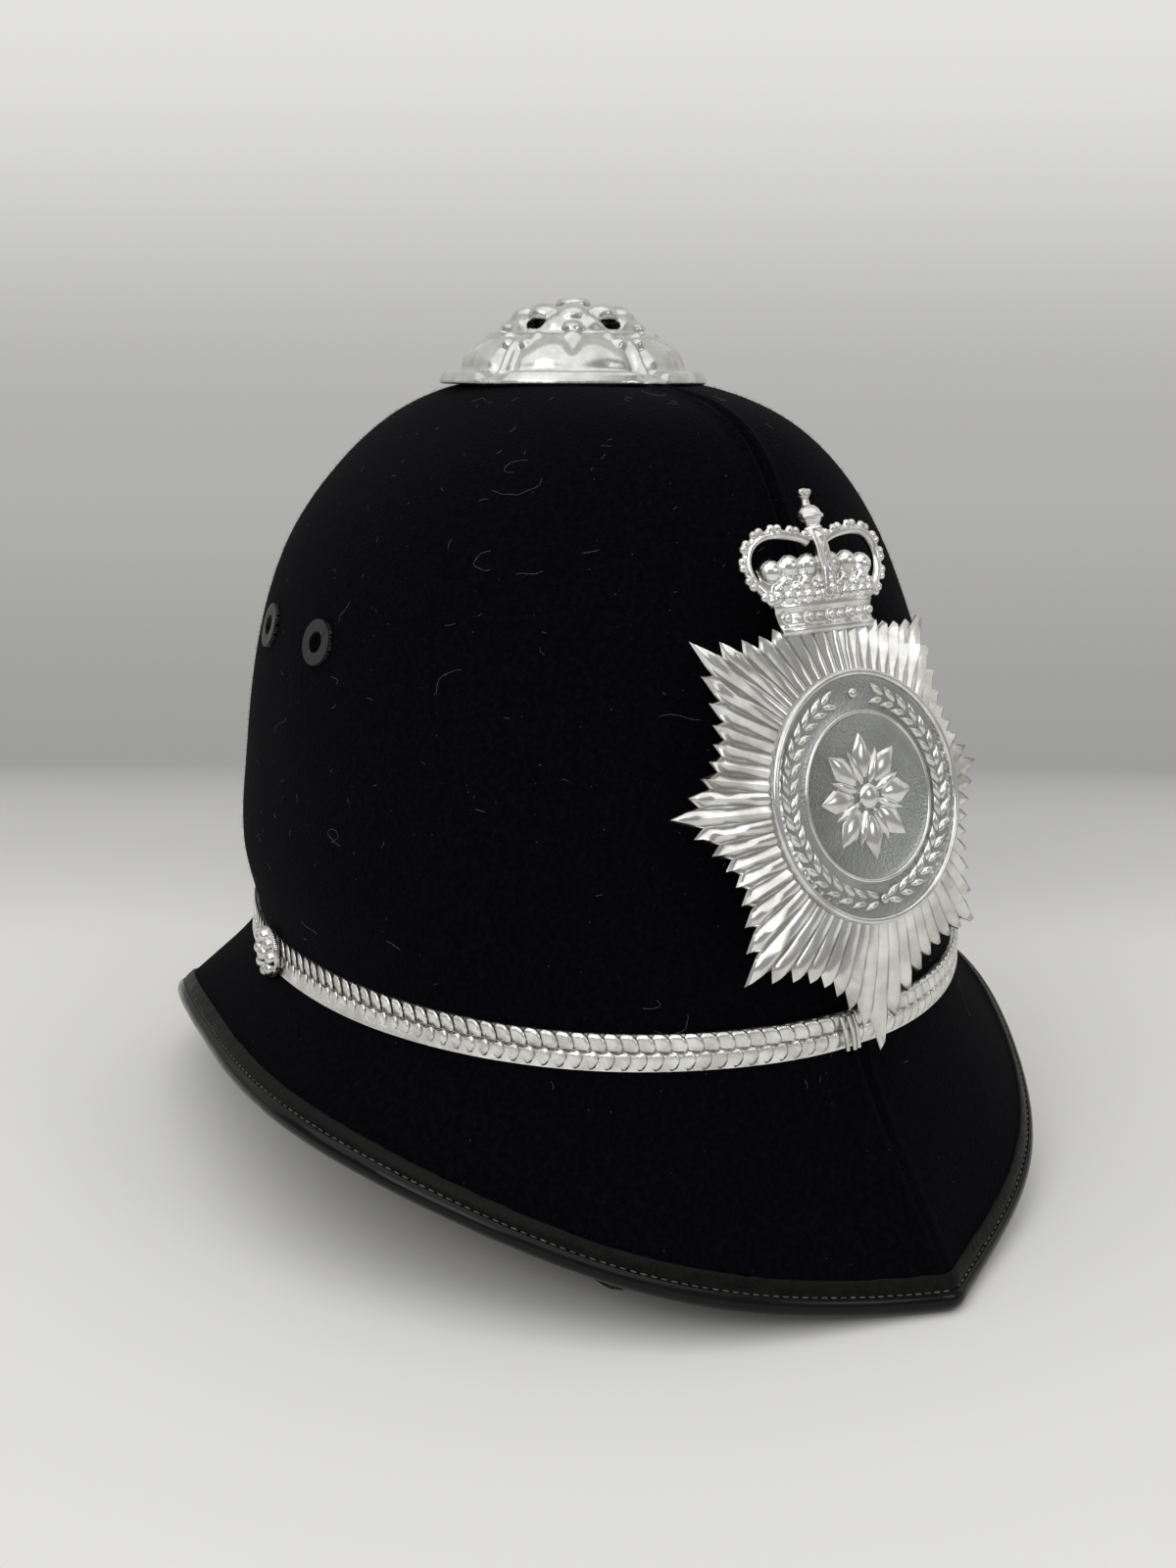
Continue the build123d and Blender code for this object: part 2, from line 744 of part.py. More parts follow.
with BuildPart() as rosette_washers:
    with BuildSketch(rosette_plane.offset(-inner_face - washer_wall)) as rosette_rings:
        Circle(washer_radius)
        Circle(shank_radius + seat_gap / 2, mode=Mode.SUBTRACT)
    extrude(amount=2 * washer_wall)
    add(shell_room.part, mode=Mode.INTERSECT)
    mirror(about=Plane.YZ)
rosette_washers.part.label = "rosette_washers"
export_step(rosette_washers.part, "parts/rosette_washers.step")

with BuildPart() as rosette_nuts:
    with BuildSketch(rosette_plane.offset(-tab_inner - seat_gap - nut_height)) as rosette_hexagons:
        RegularPolygon(nut_radius + shank_radius - post_radius, 6)
        Circle(shank_radius + seat_gap / 2, mode=Mode.SUBTRACT)
    extrude(amount=nut_height)
    mirror(about=Plane.YZ)
rosette_nuts.part.label = "rosette_nuts"
export_step(rosette_nuts.part, "parts/rosette_nuts.step")

pivot_drop = band_level + band_height / 2 - strap_pivot_height
with BuildPart() as strap_tab_left:
    with BuildSketch(rosette_plane.offset(-tab_inner)) as tab_outline:
        with Locations((0, -pivot_drop / 2)):
            SlotCenterToCenter(pivot_drop, tab_width, rotation=90)
        Circle(shank_radius + seat_gap / 2, mode=Mode.SUBTRACT)
        with Locations((0, -pivot_drop)):
            Circle(rivet_radius + seat_gap / 4, mode=Mode.SUBTRACT)
    extrude(amount=tab_wall)
strap_tab_left.part.label = "strap_tab_left"
export_step(strap_tab_left.part, "parts/strap_tab_left.step")

with BuildPart() as strap_tab_right:
    mirror(strap_tab_left.part, about=Plane.YZ)
strap_tab_right.part.label = "strap_tab_right"
export_step(strap_tab_right.part, "parts/strap_tab_right.step")

# Rivets on which the strap halves swing
strap_outer = tab_inner + piece_gap
strap_middle = strap_outer + strap_wall / 2
strap_inner = strap_outer + strap_wall
pivot_plane = Plane(
    origin=rosette_plane.origin - Vector(0, 0, pivot_drop),
    x_dir=rosette_plane.x_dir,
    z_dir=rosette_plane.z_dir,
)
with BuildPart() as strap_rivets:
    with BuildSketch(pivot_plane.offset(-strap_inner - piece_gap - rivet_head)) as rivet_shaft:
        Circle(rivet_radius)
    extrude(amount=strap_inner + piece_gap + rivet_head - tab_outer)
    with BuildSketch(pivot_plane.offset(-strap_inner - piece_gap - rivet_head)) as rivet_inner_head:
        Circle(rivet_head_radius)
    extrude(amount=rivet_head)
    with BuildSketch(pivot_plane.offset(-tab_outer)) as rivet_outer_head:
        Circle(rivet_head_radius)
    extrude(amount=rivet_head)
    mirror(about=Plane.YZ)
strap_rivets.part.label = "strap_rivets"
export_step(strap_rivets.part, "parts/strap_rivets.step")

# Chin strap: both halves are upright ribbons that bend inwards from their pivots
pivot_out = pivot_plane.z_dir
pivot_ahead = Vector(pivot_out.Y, -pivot_out.X, 0)
strap_start = pivot_plane.origin - pivot_out * strap_middle
start_flat = Vector(strap_start.X, strap_start.Y)
out_flat = Vector(pivot_out.X, pivot_out.Y)
ahead_flat = Vector(pivot_ahead.X, pivot_ahead.Y)
half_wall = strap_wall / 2
half_width = strap_width / 2


def strap_plan(bend, straight):
    """Plan of a strap half: a tail behind the pivot, a bend and a straight run."""
    outer_start = start_flat + out_flat * half_wall
    inner_start = start_flat - out_flat * half_wall
    with BuildSketch(Plane.XY) as plan:
        with BuildLine():
            Line(outer_start - ahead_flat * strap_tail, outer_start)
            outer = JernArc(outer_start, ahead_flat, strap_bend_radius + half_wall, -bend)
            Line(inner_start - ahead_flat * strap_tail, inner_start)
            inner = JernArc(inner_start, ahead_flat, strap_bend_radius - half_wall, -bend)
            Line(outer_start - ahead_flat * strap_tail, inner_start - ahead_flat * strap_tail)
            if straight > 0:
                outer_run = Line(outer @ 1, outer @ 1 + (outer % 1) * straight)
                inner_run = Line(inner @ 1, inner @ 1 + (inner % 1) * straight)
                Line(outer_run @ 1, inner_run @ 1)
            else:
                Line(outer @ 1, inner @ 1)
        make_face()
    return plan.sketch


# Long half: it sags from its pivot until its pointed end reaches the table
pivot_side = Vector(strap_start.Y, strap_pivot_height)
long_end_lift = half_width * math.cos(math.radians(long_end_slope)) + floor_gap
long_end = Vector(long_end_y, long_end_lift)
chord = long_end - pivot_side
chord_up = Vector(chord.Y, -chord.X).normalized()
if chord_up.Y < 0:
    chord_up = chord_up * -1
sag_radius = (chord.length**2 / 4 + long_sag**2) / (2 * long_sag)
sag_middle = (pivot_side + long_end) / 2 + chord_up * long_sag
sag_centre = sag_middle - chord_up * sag_radius


def sag_point(share, offset):
    """Point along the long half's side view, a share of the way from the pivot, off its middle line."""
    start_turn = math.atan2(pivot_side.Y - sag_centre.Y, pivot_side.X - sag_centre.X)
    end_turn = math.atan2(long_end.Y - sag_centre.Y, long_end.X - sag_centre.X)
    turn = start_turn + (end_turn - start_turn) * share
    return sag_centre + Vector(math.cos(turn), math.sin(turn)) * (sag_radius + offset)


long_plan = strap_plan(long_bend, 0)
with BuildPart() as strap_long_left:
    extrude(long_plan, amount=band_level)
    with BuildSketch(Plane.YZ) as long_side:
        with BuildLine():
            ThreePointArc(sag_point(0, half_width), sag_point(0.5, half_width), sag_point(1, half_width))
            end_along = (sag_point(1, 0) - sag_point(1 - sag_nudge, 0)).normalized()
            end_across = (sag_point(1, half_width) - sag_point(1, 0)).normalized()
            tip = sag_point(1, 0) + end_along * point_length
            Polyline(
                sag_point(1, half_width),
                tip + end_across * point_half,
                tip - end_across * point_half,
                sag_point(1, -half_width),
            )
            ThreePointArc(sag_point(1, -half_width), sag_point(0.5, -half_width), sag_point(0, -half_width))
            tail = pivot_side - (sag_point(sag_nudge, 0) - sag_point(0, 0)).normalized() * half_width
            ThreePointArc(sag_point(0, -half_width), tail, sag_point(0, half_width))
        make_face()
        for step in range(strap_hole_count):
            hole_share = 1 - (step + 1) * strap_hole_pitch / chord.length
            with Locations(sag_point(hole_share, 0)):
                Circle(strap_hole_radius, mode=Mode.SUBTRACT)
    extrude(amount=crown_width, mode=Mode.INTERSECT)
    with Locations(pivot_plane):
        Cylinder(rivet_radius + rivet_play, 2 * overrun, mode=Mode.SUBTRACT)

with BuildPart() as strap_long:
    mirror(strap_long_left.part, about=Plane.YZ)
strap_long.part.label = "strap_long"
export_step(strap_long.part, "parts/strap_long.step")

# Short half, with a loop round the buckle's bar
short_plan = strap_plan(short_bend, short_straight)
slope = math.radians(short_slope)
bend = math.radians(short_bend)
out_turn = math.atan2(out_flat.Y, out_flat.X)
heading = Vector(math.cos(out_turn - math.pi / 2 - bend), math.sin(out_turn - math.pi / 2 - bend))
arc_centre = start_flat - out_flat * strap_bend_radius
arc_end = arc_centre + Vector(math.cos(out_turn - bend), math.sin(out_turn - bend)) * strap_bend_radius
buckle_flat = arc_end + heading * (short_straight + bar_radius)
side_slope = math.tan(slope) / abs(heading.Y)
buckle_z = strap_pivot_height - side_slope * (start_flat.Y - buckle_flat.Y)
strap_dir = Vector(heading.X * math.cos(slope), heading.Y * math.cos(slope), -math.sin(slope))
buckle_out = Vector(-heading.Y, heading.X, 0)
buckle_plane = Plane(origin=(buckle_flat.X, buckle_flat.Y, buckle_z), x_dir=strap_dir, z_dir=buckle_out)
side_dir = Vector(-math.cos(math.atan(side_slope)), -math.sin(math.atan(side_slope)))
side_up = Vector(-side_dir.Y, side_dir.X) * -1
buckle_side = Vector(buckle_flat.Y, buckle_z)
bar_plane = Plane(origin=buckle_plane.origin, x_dir=buckle_out, z_dir=buckle_plane.y_dir)

with BuildPart() as strap_short:
    extrude(short_plan, amount=band_level)
    with BuildSketch(Plane.YZ) as short_side:
        with BuildLine():
            Line(pivot_side + side_up * half_width, buckle_side + side_up * half_width)
            Line(buckle_side + side_up * half_width, buckle_side - side_up * half_width)
            Line(buckle_side - side_up * half_width, pivot_side - side_up * half_width)
            ThreePointArc(
                pivot_side - side_up * half_width,
                pivot_side - side_dir * half_width,
                pivot_side + side_up * half_width,
            )
        make_face()
    extrude(amount=crown_width, mode=Mode.INTERSECT)
    with Locations(bar_plane):
        Cylinder(loop_radius, strap_width)
        Cylinder(bar_radius + bar_clearance, strap_width + overrun, mode=Mode.SUBTRACT)
    with Locations(buckle_plane):
        Box(4 * loop_radius, 2 * prong_notch, overrun, mode=Mode.SUBTRACT)
    with Locations(pivot_plane):
        Cylinder(rivet_radius + rivet_play, 2 * overrun, mode=Mode.SUBTRACT)
strap_short.part.label = "strap_short"
export_step(strap_short.part, "parts/strap_short.step")

with BuildPart() as buckle_frame:
    with BuildSketch(buckle_plane.offset(-frame_wall / 2)) as frame_outline:
        with Locations(((frame_length - bar_radius) / 2, 0)):
            Rectangle(frame_length + bar_radius, 2 * frame_half_width)
        with Locations(((frame_length - frame_wall) / 2 - bar_radius, 0)):
            Rectangle(frame_length - frame_wall + 2 * bar_radius, 2 * (frame_half_width - frame_bar), mode=Mode.SUBTRACT)
    extrude(amount=frame_wall)
    with Locations(bar_plane):
        Cylinder(bar_radius, 2 * frame_half_width)
buckle_frame.part.label = "buckle_frame"
export_step(buckle_frame.part, "parts/buckle_frame.step")

prong_lift = frame_wall / 2 + bar_clearance
with BuildPart() as buckle_prong:
    with Locations(bar_plane):
        Cylinder(bar_radius + bar_clearance + prong_wall, 2 * (prong_notch - bar_clearance))
    with BuildSketch(buckle_plane.offset(prong_lift)) as prong_outline:
        with Locations((frame_length / 2 + bar_clearance, 0)):
            Rectangle(frame_length, 2 * prong_half)
    extrude(amount=prong_wall)
    with Locations(bar_plane):
        Cylinder(bar_radius + bar_clearance, overrun, mode=Mode.SUBTRACT)
buckle_prong.part.label = "buckle_prong"
export_step(buckle_prong.part, "parts/buckle_prong.step")

with BuildPart() as strap_keeper:
    with Locations(buckle_plane):
        with Locations((-keeper_back, 0, 0)):
            Box(
                keeper_length,
                strap_width + 2 * (keeper_clearance + keeper_wall),
                strap_wall + 2 * (keeper_clearance + keeper_wall),
            )
            Box(
                2 * keeper_length,
                strap_width + 2 * keeper_clearance,
                strap_wall + 2 * keeper_clearance,
                mode=Mode.SUBTRACT,
            )
strap_keeper.part.label = "strap_keeper"
export_step(strap_keeper.part, "parts/strap_keeper.step")

# Rose ventilator: a pressed dome of five outer and five inner petals with vents between them
rose_plane = Plane.XY.offset(rose_level)
rose_axis = Axis((0, rose_axis_y, 0), (0, 0, 1))


def rose_profile(shrink):
    """Profile of the dome, drawn in by a wall, from the rim to the axis."""
    rim = (rose_axis_y + rose_radius - shrink, rose_level)
    points = [(rose_axis_y + rose_radius - shrink, rose_level + rose_rim - shrink)]
    for radius, rise in zip(rose_radii, rose_rises):
        points.append((rose_axis_y + radius - shrink, rose_level + rise - shrink))
    with BuildSketch(Plane.YZ) as profile:
        with BuildLine():
            Line(rim, points[0])
            Spline(*points)
            Polyline(points[-1], (rose_axis_y, points[-1][1]), (rose_axis_y, rose_level), rim)
        make_face()
    return profile.sketch


rose_outside = rose_profile(0)
rose_inside = rose_profile(rose_wall)
with BuildPart() as top_rose:
    revolve(rose_outside, axis=rose_axis)
    with Locations((0, rose_axis_y, rose_level + outer_petal_rise)):
        with PolarLocations(outer_petal_ring, rose_petals, start_angle=-90):
            Sphere(outer_petal_radius)
    split(bisect_by=rose_plane, keep=Keep.TOP)
    with Locations((0, rose_axis_y, rose_level + inner_petal_rise)):
        with PolarLocations(inner_petal_ring, rose_petals, start_angle=-90 + 180 / rose_petals):
            Sphere(inner_petal_radius)
    revolve(rose_inside, axis=rose_axis, mode=Mode.SUBTRACT)
    with Locations((0, rose_axis_y, rose_level + vent_slot_rise)):
        with PolarLocations(vent_slot_ring, rose_petals, start_angle=-90):
            Sphere(vent_slot_radius, mode=Mode.SUBTRACT)
    with Locations((0, rose_axis_y, rose_level + button_rise)):
        Cylinder(stud_radius + seat_gap, overrun, mode=Mode.SUBTRACT)
top_rose.part.label = "top_rose"
export_step(top_rose.part, "parts/top_rose.step")

button_base = rose_level + rose_rises[-1] + seat_gap
button_height = rose_level + button_rise - button_base
with BuildPart() as rose_button:
    with BuildSketch(Plane.XY.offset(button_base)) as button_circle:
        with Locations((0, rose_axis_y)):
            Circle(button_radius)
    extrude(amount=button_height)
    fillet(rose_button.faces().sort_by(Axis.Z)[-1].edges(), button_height * button_round_share)
rose_button.part.label = "rose_button"
export_step(rose_button.part, "parts/rose_button.step")

with BuildPart() as rose_stud:
    with BuildSketch(Plane.XY.offset(stud_end)) as stud_circle:
        with Locations((0, rose_axis_y)):
            Circle(stud_radius)
    extrude(amount=button_base - stud_end)
rose_stud.part.label = "rose_stud"
export_step(rose_stud.part, "parts/rose_stud.step")

collar_seat = band_level + crown_height + 3 * piece_gap
with BuildPart() as vent_collar:
    with BuildSketch(Plane.XY.offset(collar_end)) as collar_tube:
        with Locations((0, rose_axis_y)):
            Circle(collar_radius)
    extrude(amount=collar_seat + collar_flange_wall - collar_end)
    with BuildSketch(Plane.XY.offset(collar_seat)) as collar_ring:
        with Locations((0, rose_axis_y)):
            Circle(collar_flange)
    extrude(amount=collar_flange_wall)
    with BuildSketch(Plane.XY.offset(collar_end - overrun)) as collar_bore:
        with Locations((0, rose_axis_y)):
            Circle(collar_radius - collar_wall)
    extrude(amount=2 * overrun, mode=Mode.SUBTRACT)
vent_collar.part.label = "vent_collar"
export_step(vent_collar.part, "parts/vent_collar.step")

# Bridge across the vent inside the crown, and the wing nut that pulls the stud down on it
with BuildPart() as vent_bridge:
    with BuildSketch(Plane.XY.offset(collar_end - seat_gap - bridge_wall)) as bridge_outline:
        with Locations((0, rose_axis_y)):
            SlotOverall(bridge_length, bridge_width)
            Circle(stud_radius + seat_gap, mode=Mode.SUBTRACT)
    extrude(amount=bridge_wall)
vent_bridge.part.label = "vent_bridge"
export_step(vent_bridge.part, "parts/vent_bridge.step")

nut_top = collar_end - 2 * seat_gap - bridge_wall
with BuildPart() as wing_nut:
    with BuildSketch(Plane.XY.offset(nut_top - wing_nut_height)) as wing_hub:
        with Locations((0, rose_axis_y)):
            Circle(wing_nut_radius)
    extrude(amount=wing_nut_height)
    with BuildSketch(Plane.XZ.offset(-rose_axis_y)) as wing_outline:
        with Locations((0, nut_top - wing_nut_height)):
            Trapezoid(wing_span, wing_height, wing_angle, rotation=180)
    extrude(amount=wing_wall / 2, both=True)
    with BuildSketch(Plane.XY.offset(stud_end - overrun)) as wing_bore:
        with Locations((0, rose_axis_y)):
            Circle(stud_radius + seat_gap / 2)
    extrude(amount=3 * overrun, mode=Mode.SUBTRACT)
wing_nut.part.label = "wing_nut"
export_step(wing_nut.part, "parts/wing_nut.step")

# Leather sweatband, held off the shell by spacers
sweat_half_width = crown_width / 2 - inner_face - sweatband_gap
sweat_half_length = (crown_front + crown_rear) / 2 - inner_face - sweatband_gap
sweat_middle_y = (crown_rear - crown_front) / 2
with BuildPart() as sweat_room:
    with BuildSketch(Plane.XY.offset(sweatband_low)) as sweat_outline:
        with Locations((0, sweat_middle_y)):
            Ellipse(sweat_half_width, sweat_half_length)
    extrude(amount=sweatband_high - sweatband_low, taper=sweatband_taper)

with BuildPart() as sweat_hollow:
    with BuildSketch(Plane.XY.offset(sweatband_low)) as sweat_inline:
        with Locations((0, sweat_middle_y)):
            Ellipse(sweat_half_width - sweatband_wall, sweat_half_length - sweatband_wall)
    extrude(amount=sweatband_high - sweatband_low, taper=sweatband_taper)

with BuildPart() as sweatband:
    add(sweat_room.part)
    add(sweat_hollow.part, mode=Mode.SUBTRACT)
sweatband.part.label = "sweatband"
export_step(sweatband.part, "parts/sweatband.step")

with BuildPart() as sweatband_spacers:
    for azimuth in spacer_azimuths:
        block_plane = wall_plane(azimuth, (spacer_low + spacer_high) / 2, upright=True)
        with Locations(block_plane):
            Box(spacer_width, spacer_high - spacer_low, 2 * overrun)
    add(shell_room.part, mode=Mode.INTERSECT)
    add(sweat_room.part, mode=Mode.SUBTRACT)
    mirror(about=Plane.YZ)
sweatband_spacers.part.label = "sweatband_spacers"
export_step(sweatband_spacers.part, "parts/sweatband_spacers.step")

# Soft ring pad in the top of the crown
with BuildPart() as crown_pad:
    with BuildSketch(Plane.XY.offset(pad_low)) as pad_ring:
        with Locations((0, rose_axis_y)):
            Circle(pad_radius)
            Circle(pad_bore, mode=Mode.SUBTRACT)
    extrude(amount=crown_height)
    add(lining_room.part, mode=Mode.INTERSECT)
crown_pad.part.label = "crown_pad"
export_step(crown_pad.part, "parts/crown_pad.step")
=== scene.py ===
"""Custodian police helmet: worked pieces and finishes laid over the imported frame.

Metres, unless a docstring says millimetres. +Z is up, the front is -Y and the wearer's right
is -X. An azimuth is in degrees from the front towards the wearer's left.
"""
import logging
import math
import random
from collections.abc import Iterable
from dataclasses import dataclass, field
from enum import Enum

import bpy
from mathutils import Matrix, Quaternion, Vector
from mathutils.bvhtree import BVHTree


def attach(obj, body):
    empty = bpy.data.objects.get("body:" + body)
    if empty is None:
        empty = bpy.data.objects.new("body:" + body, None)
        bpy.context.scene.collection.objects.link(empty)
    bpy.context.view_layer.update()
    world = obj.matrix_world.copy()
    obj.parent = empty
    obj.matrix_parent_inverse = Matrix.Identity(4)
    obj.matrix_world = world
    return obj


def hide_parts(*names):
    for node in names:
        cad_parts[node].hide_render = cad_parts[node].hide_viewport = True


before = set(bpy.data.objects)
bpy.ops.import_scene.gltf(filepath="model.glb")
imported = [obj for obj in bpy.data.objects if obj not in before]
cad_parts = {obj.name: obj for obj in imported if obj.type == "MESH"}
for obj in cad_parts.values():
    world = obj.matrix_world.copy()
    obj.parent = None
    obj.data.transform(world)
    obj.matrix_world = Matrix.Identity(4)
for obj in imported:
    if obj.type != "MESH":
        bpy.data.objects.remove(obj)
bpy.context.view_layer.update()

log = logging.getLogger("helmet")

Pair = tuple[float, float]
Triple = tuple[float, float, float]
Face = tuple[int, ...]

MILLIMETRE = 0.001
ROSE_AXIS_Y = 9.0 * MILLIMETRE
CROWN_HEART = Vector((0.0, ROSE_AXIS_Y, 100.0 * MILLIMETRE))
FAR_OUT = 1.0
FAR_AHEAD = -300.0
MERGE_DISTANCE = 0.002 * MILLIMETRE
SHORT_OF_END = 0.001
UP = Vector((0, 0, 1))
DOWN = Vector((0, 0, -1))
BACKWARDS = Vector((0, 1, 0))


class Body(Enum):
    """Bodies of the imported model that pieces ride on."""

    HELMET = "helmet"
    LONG_STRAP = "long_strap"
    SHORT_STRAP = "short_strap"
    BUCKLE = "buckle"
    PRONG = "prong"
    KEEPER = "keeper"


class Slot(Enum):
    """Material slots of the record."""

    CLOTH = "navy_cloth"
    LINING = "black_cloth"
    LEATHERCLOTH = "leathercloth"
    LEATHER = "black_leather"
    BOARD = "shell_board"
    CORK = "cork"
    PAD = "foam_pad"
    BRIGHT = "bright_plate"
    STEEL = "inner_steel"
    BLACKENED = "blackened_metal"


def mm(*lengths: float) -> Vector:
    """Turn lengths in millimetres into a vector in metres."""
    return Vector(lengths) * MILLIMETRE


def between(low: float, high: float, share: float) -> float:
    """Return the value at a share of the way from low to high."""
    return low + (high - low) * share


def bump(value: float, middle: float, width: float) -> float:
    """Return a rounded bump, 1 at its middle."""
    return math.exp(-(((value - middle) / width) ** 2))


def direction(azimuth: float) -> Vector:
    """Return the level direction at an azimuth."""
    turn = math.radians(azimuth)
    return Vector((math.sin(turn), -math.cos(turn), 0))


def off_axis(outwards: Vector, reach: float, height: float) -> Vector:
    """Return the point at a reach from the rose's axis and at a height, both in millimetres."""
    return Vector((0, ROSE_AXIS_Y, 0)) + outwards * reach * MILLIMETRE + mm(0, 0, height)


def leg_of(steps: float, count: int) -> tuple[int, float]:
    """Find the leg of a line of evenly spaced points that a place lies on.

    Args:
        steps: The place, counted in legs from the first point.
        count: Number of points.

    Returns:
        Index of the leg, and the share of it that is passed.
    """
    inside = min(max(steps, 0.0), count - 1 - SHORT_OF_END)
    index = int(inside)
    return index, inside - index


def spaced(points: list[Vector], count: int) -> list[Vector]:
    """Space points evenly along a polyline.

    Args:
        points: Points of the polyline.
        count: Number of points wanted.

    Returns:
        The evenly spaced points, the ends among them.
    """
    travelled = [0.0]
    for before, after in zip(points, points[1:]):
        travelled.append(travelled[-1] + (after - before).length)
    result = []
    leg = 0
    for step in range(count):
        wanted = travelled[-1] * step / (count - 1)
        while leg < len(points) - 2 and travelled[leg + 1] < wanted:
            leg += 1
        run = travelled[leg + 1] - travelled[leg]
        share = 0.0 if run == 0 else (wanted - travelled[leg]) / run
        result.append(points[leg].lerp(points[leg + 1], min(max(share, 0.0), 1.0)))
    return result


def grid_faces(rows: int, columns: int, closed: bool) -> list[Face]:
    """List the quads of a grid of vertices.

    Args:
        rows: Number of rows.
        columns: Number of vertices in a row.
        closed: True where each row runs round and meets itself.

    Returns:
        Four vertex indices for each quad.
    """
    faces = []
    last = columns if closed else columns - 1
    for row in range(rows - 1):
        for column in range(last):
            beside = (column + 1) % columns
            low = row * columns
            high = low + columns
            faces.append((low + column, low + beside, high + beside, high + column))
    return faces


def choose_only(piece: bpy.types.Object) -> None:
    """Select one object alone and make it active.

    Args:
        piece: The object to select.
    """
    bpy.ops.object.select_all(action="DESELECT")
    piece.select_set(True)
    bpy.context.view_layer.objects.active = piece


def stand(name: str, data: bpy.types.ID) -> bpy.types.Object:
    """Put a mesh, curve, lamp or camera into the scene, at the origin and selected alone.

    Args:
        name: Name of the object.
        data: What the object shows.

    Returns:
        The new object.
    """
    made = bpy.data.objects.new(name, data)
    bpy.context.collection.objects.link(made)
    choose_only(made)
    return made


def mesh_object(name: str, points: list[Vector], faces: list[Face]) -> bpy.types.Object:
    """Make an object at the origin from points and faces.

    Args:
        name: Name of the object and of its mesh.
        points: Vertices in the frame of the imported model.
        faces: Indices of the vertices of each face.

    Returns:
        The new object, shaded smooth.
    """
    mesh = bpy.data.meshes.new(name)
    mesh.from_pydata([tuple(point) for point in points], [], faces)
    mesh.update()
    piece = stand(name, mesh)
    bpy.ops.object.shade_smooth()
    return piece


class Shapes:
    """Points and faces of many small shapes that become one piece."""

    def __init__(self) -> None:
        """Start with nothing."""
        self.points: list[Vector] = []
        self.faces: list[Face] = []

    def add(self, points: Iterable[Vector], faces: Iterable[Iterable[int]]) -> None:
        """Add a shape.

        Args:
            points: The shape's points.
            faces: Its faces, as indices of its own points.
        """
        start = len(self.points)
        self.points.extend(points)
        self.faces.extend(tuple(start + corner for corner in face) for face in faces)

    def piece(self, name: str) -> bpy.types.Object:
        """Make one named piece of all the shapes."""
        return mesh_object(name, self.points, self.faces)


def smooth(piece: bpy.types.Object, sharp: float | None = None) -> bpy.types.Object:
    """Shade a piece smoothly.

    Args:
        piece: The piece to shade.
        sharp: Edges sharper than this, in degrees, stay sharp. With None, none does.

    Returns:
        The same piece.
    """
    choose_only(piece)
    if sharp is None:
        bpy.ops.object.shade_smooth()
    else:
        bpy.ops.object.shade_smooth_by_angle(angle=math.radians(sharp))
    return piece


def mend(piece: bpy.types.Object, turn_out: bool = True) -> bpy.types.Object:
    """Merge a piece's doubles and turn its faces outwards.

    Args:
        piece: The piece to mend.
        turn_out: False where the faces already point the right way.

    Returns:
        The same piece.
    """
    choose_only(piece)
    bpy.ops.object.mode_set(mode="EDIT")
    bpy.ops.mesh.select_all(action="SELECT")
    bpy.ops.mesh.remove_doubles(threshold=MERGE_DISTANCE)
    if turn_out:
        bpy.ops.mesh.normals_make_consistent(inside=False)
    bpy.ops.object.mode_set(mode="OBJECT")
    return piece


def apply_modifier(piece: bpy.types.Object, kind: str, **settings: object) -> None:
    """Add a modifier, set it and apply it.

    Args:
        piece: The piece to change.
        kind: Blender's type of the modifier.
        settings: Properties of the modifier and their values.
    """
    choose_only(piece)
    modifier = piece.modifiers.new(kind.lower(), kind)
    for key, value in settings.items():
        setattr(modifier, key, value)
    bpy.ops.object.modifier_apply(modifier=modifier.name)


def thicken(piece: bpy.types.Object, wall: float) -> None:
    """Give a sheet its wall in millimetres, on the side away from its faces."""
    apply_modifier(piece, "SOLIDIFY", thickness=wall * MILLIMETRE, offset=-1.0)


def cast_whole(piece: bpy.types.Object, voxel: float, rounds: int) -> bpy.types.Object:
    """Melt the overlapping parts of a piece into one skin, as a casting or a pressing has.

    Args:
        piece: The piece, all its parts closed.
        voxel: Size of the skin's facets in millimetres.
        rounds: Rounds of smoothing.

    Returns:
        The same piece.
    """
    apply_modifier(piece, "REMESH", mode="VOXEL", voxel_size=voxel * MILLIMETRE)
    apply_modifier(piece, "SMOOTH", factor=0.5, iterations=rounds)
    return smooth(piece)


def worked_copy(node: str) -> bpy.types.Object:
    """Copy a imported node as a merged, smoothly shaded piece that can be worked on.

    Args:
        node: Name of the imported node.

    Returns:
        The copy, named after the node.
    """
    piece = stand(f"{node}_worked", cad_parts[node].data.copy())
    piece.data.materials.clear()
    return smooth(mend(piece, turn_out=False), sharp=32.0)


def join_pieces(name: str, pieces: list[bpy.types.Object]) -> bpy.types.Object:
    """Join pieces into one named piece.

    Args:
        name: Name of the joined piece.
        pieces: The pieces, of which none is left over.

    Returns:
        The joined piece.
    """
    bpy.ops.object.select_all(action="DESELECT")
    for piece in pieces:
        piece.select_set(True)
    bpy.context.view_layer.objects.active = pieces[0]
    bpy.ops.object.join()
    joined = bpy.context.view_layer.objects.active
    joined.name = name
    return joined


def settled() -> bpy.types.Object:
    """Move the active object's place and size into its mesh and shade it smoothly.

    Returns:
        The active object.
    """
    bpy.ops.object.transform_apply(location=True, rotation=True, scale=True)
    bpy.ops.object.shade_smooth()
    return bpy.context.active_object


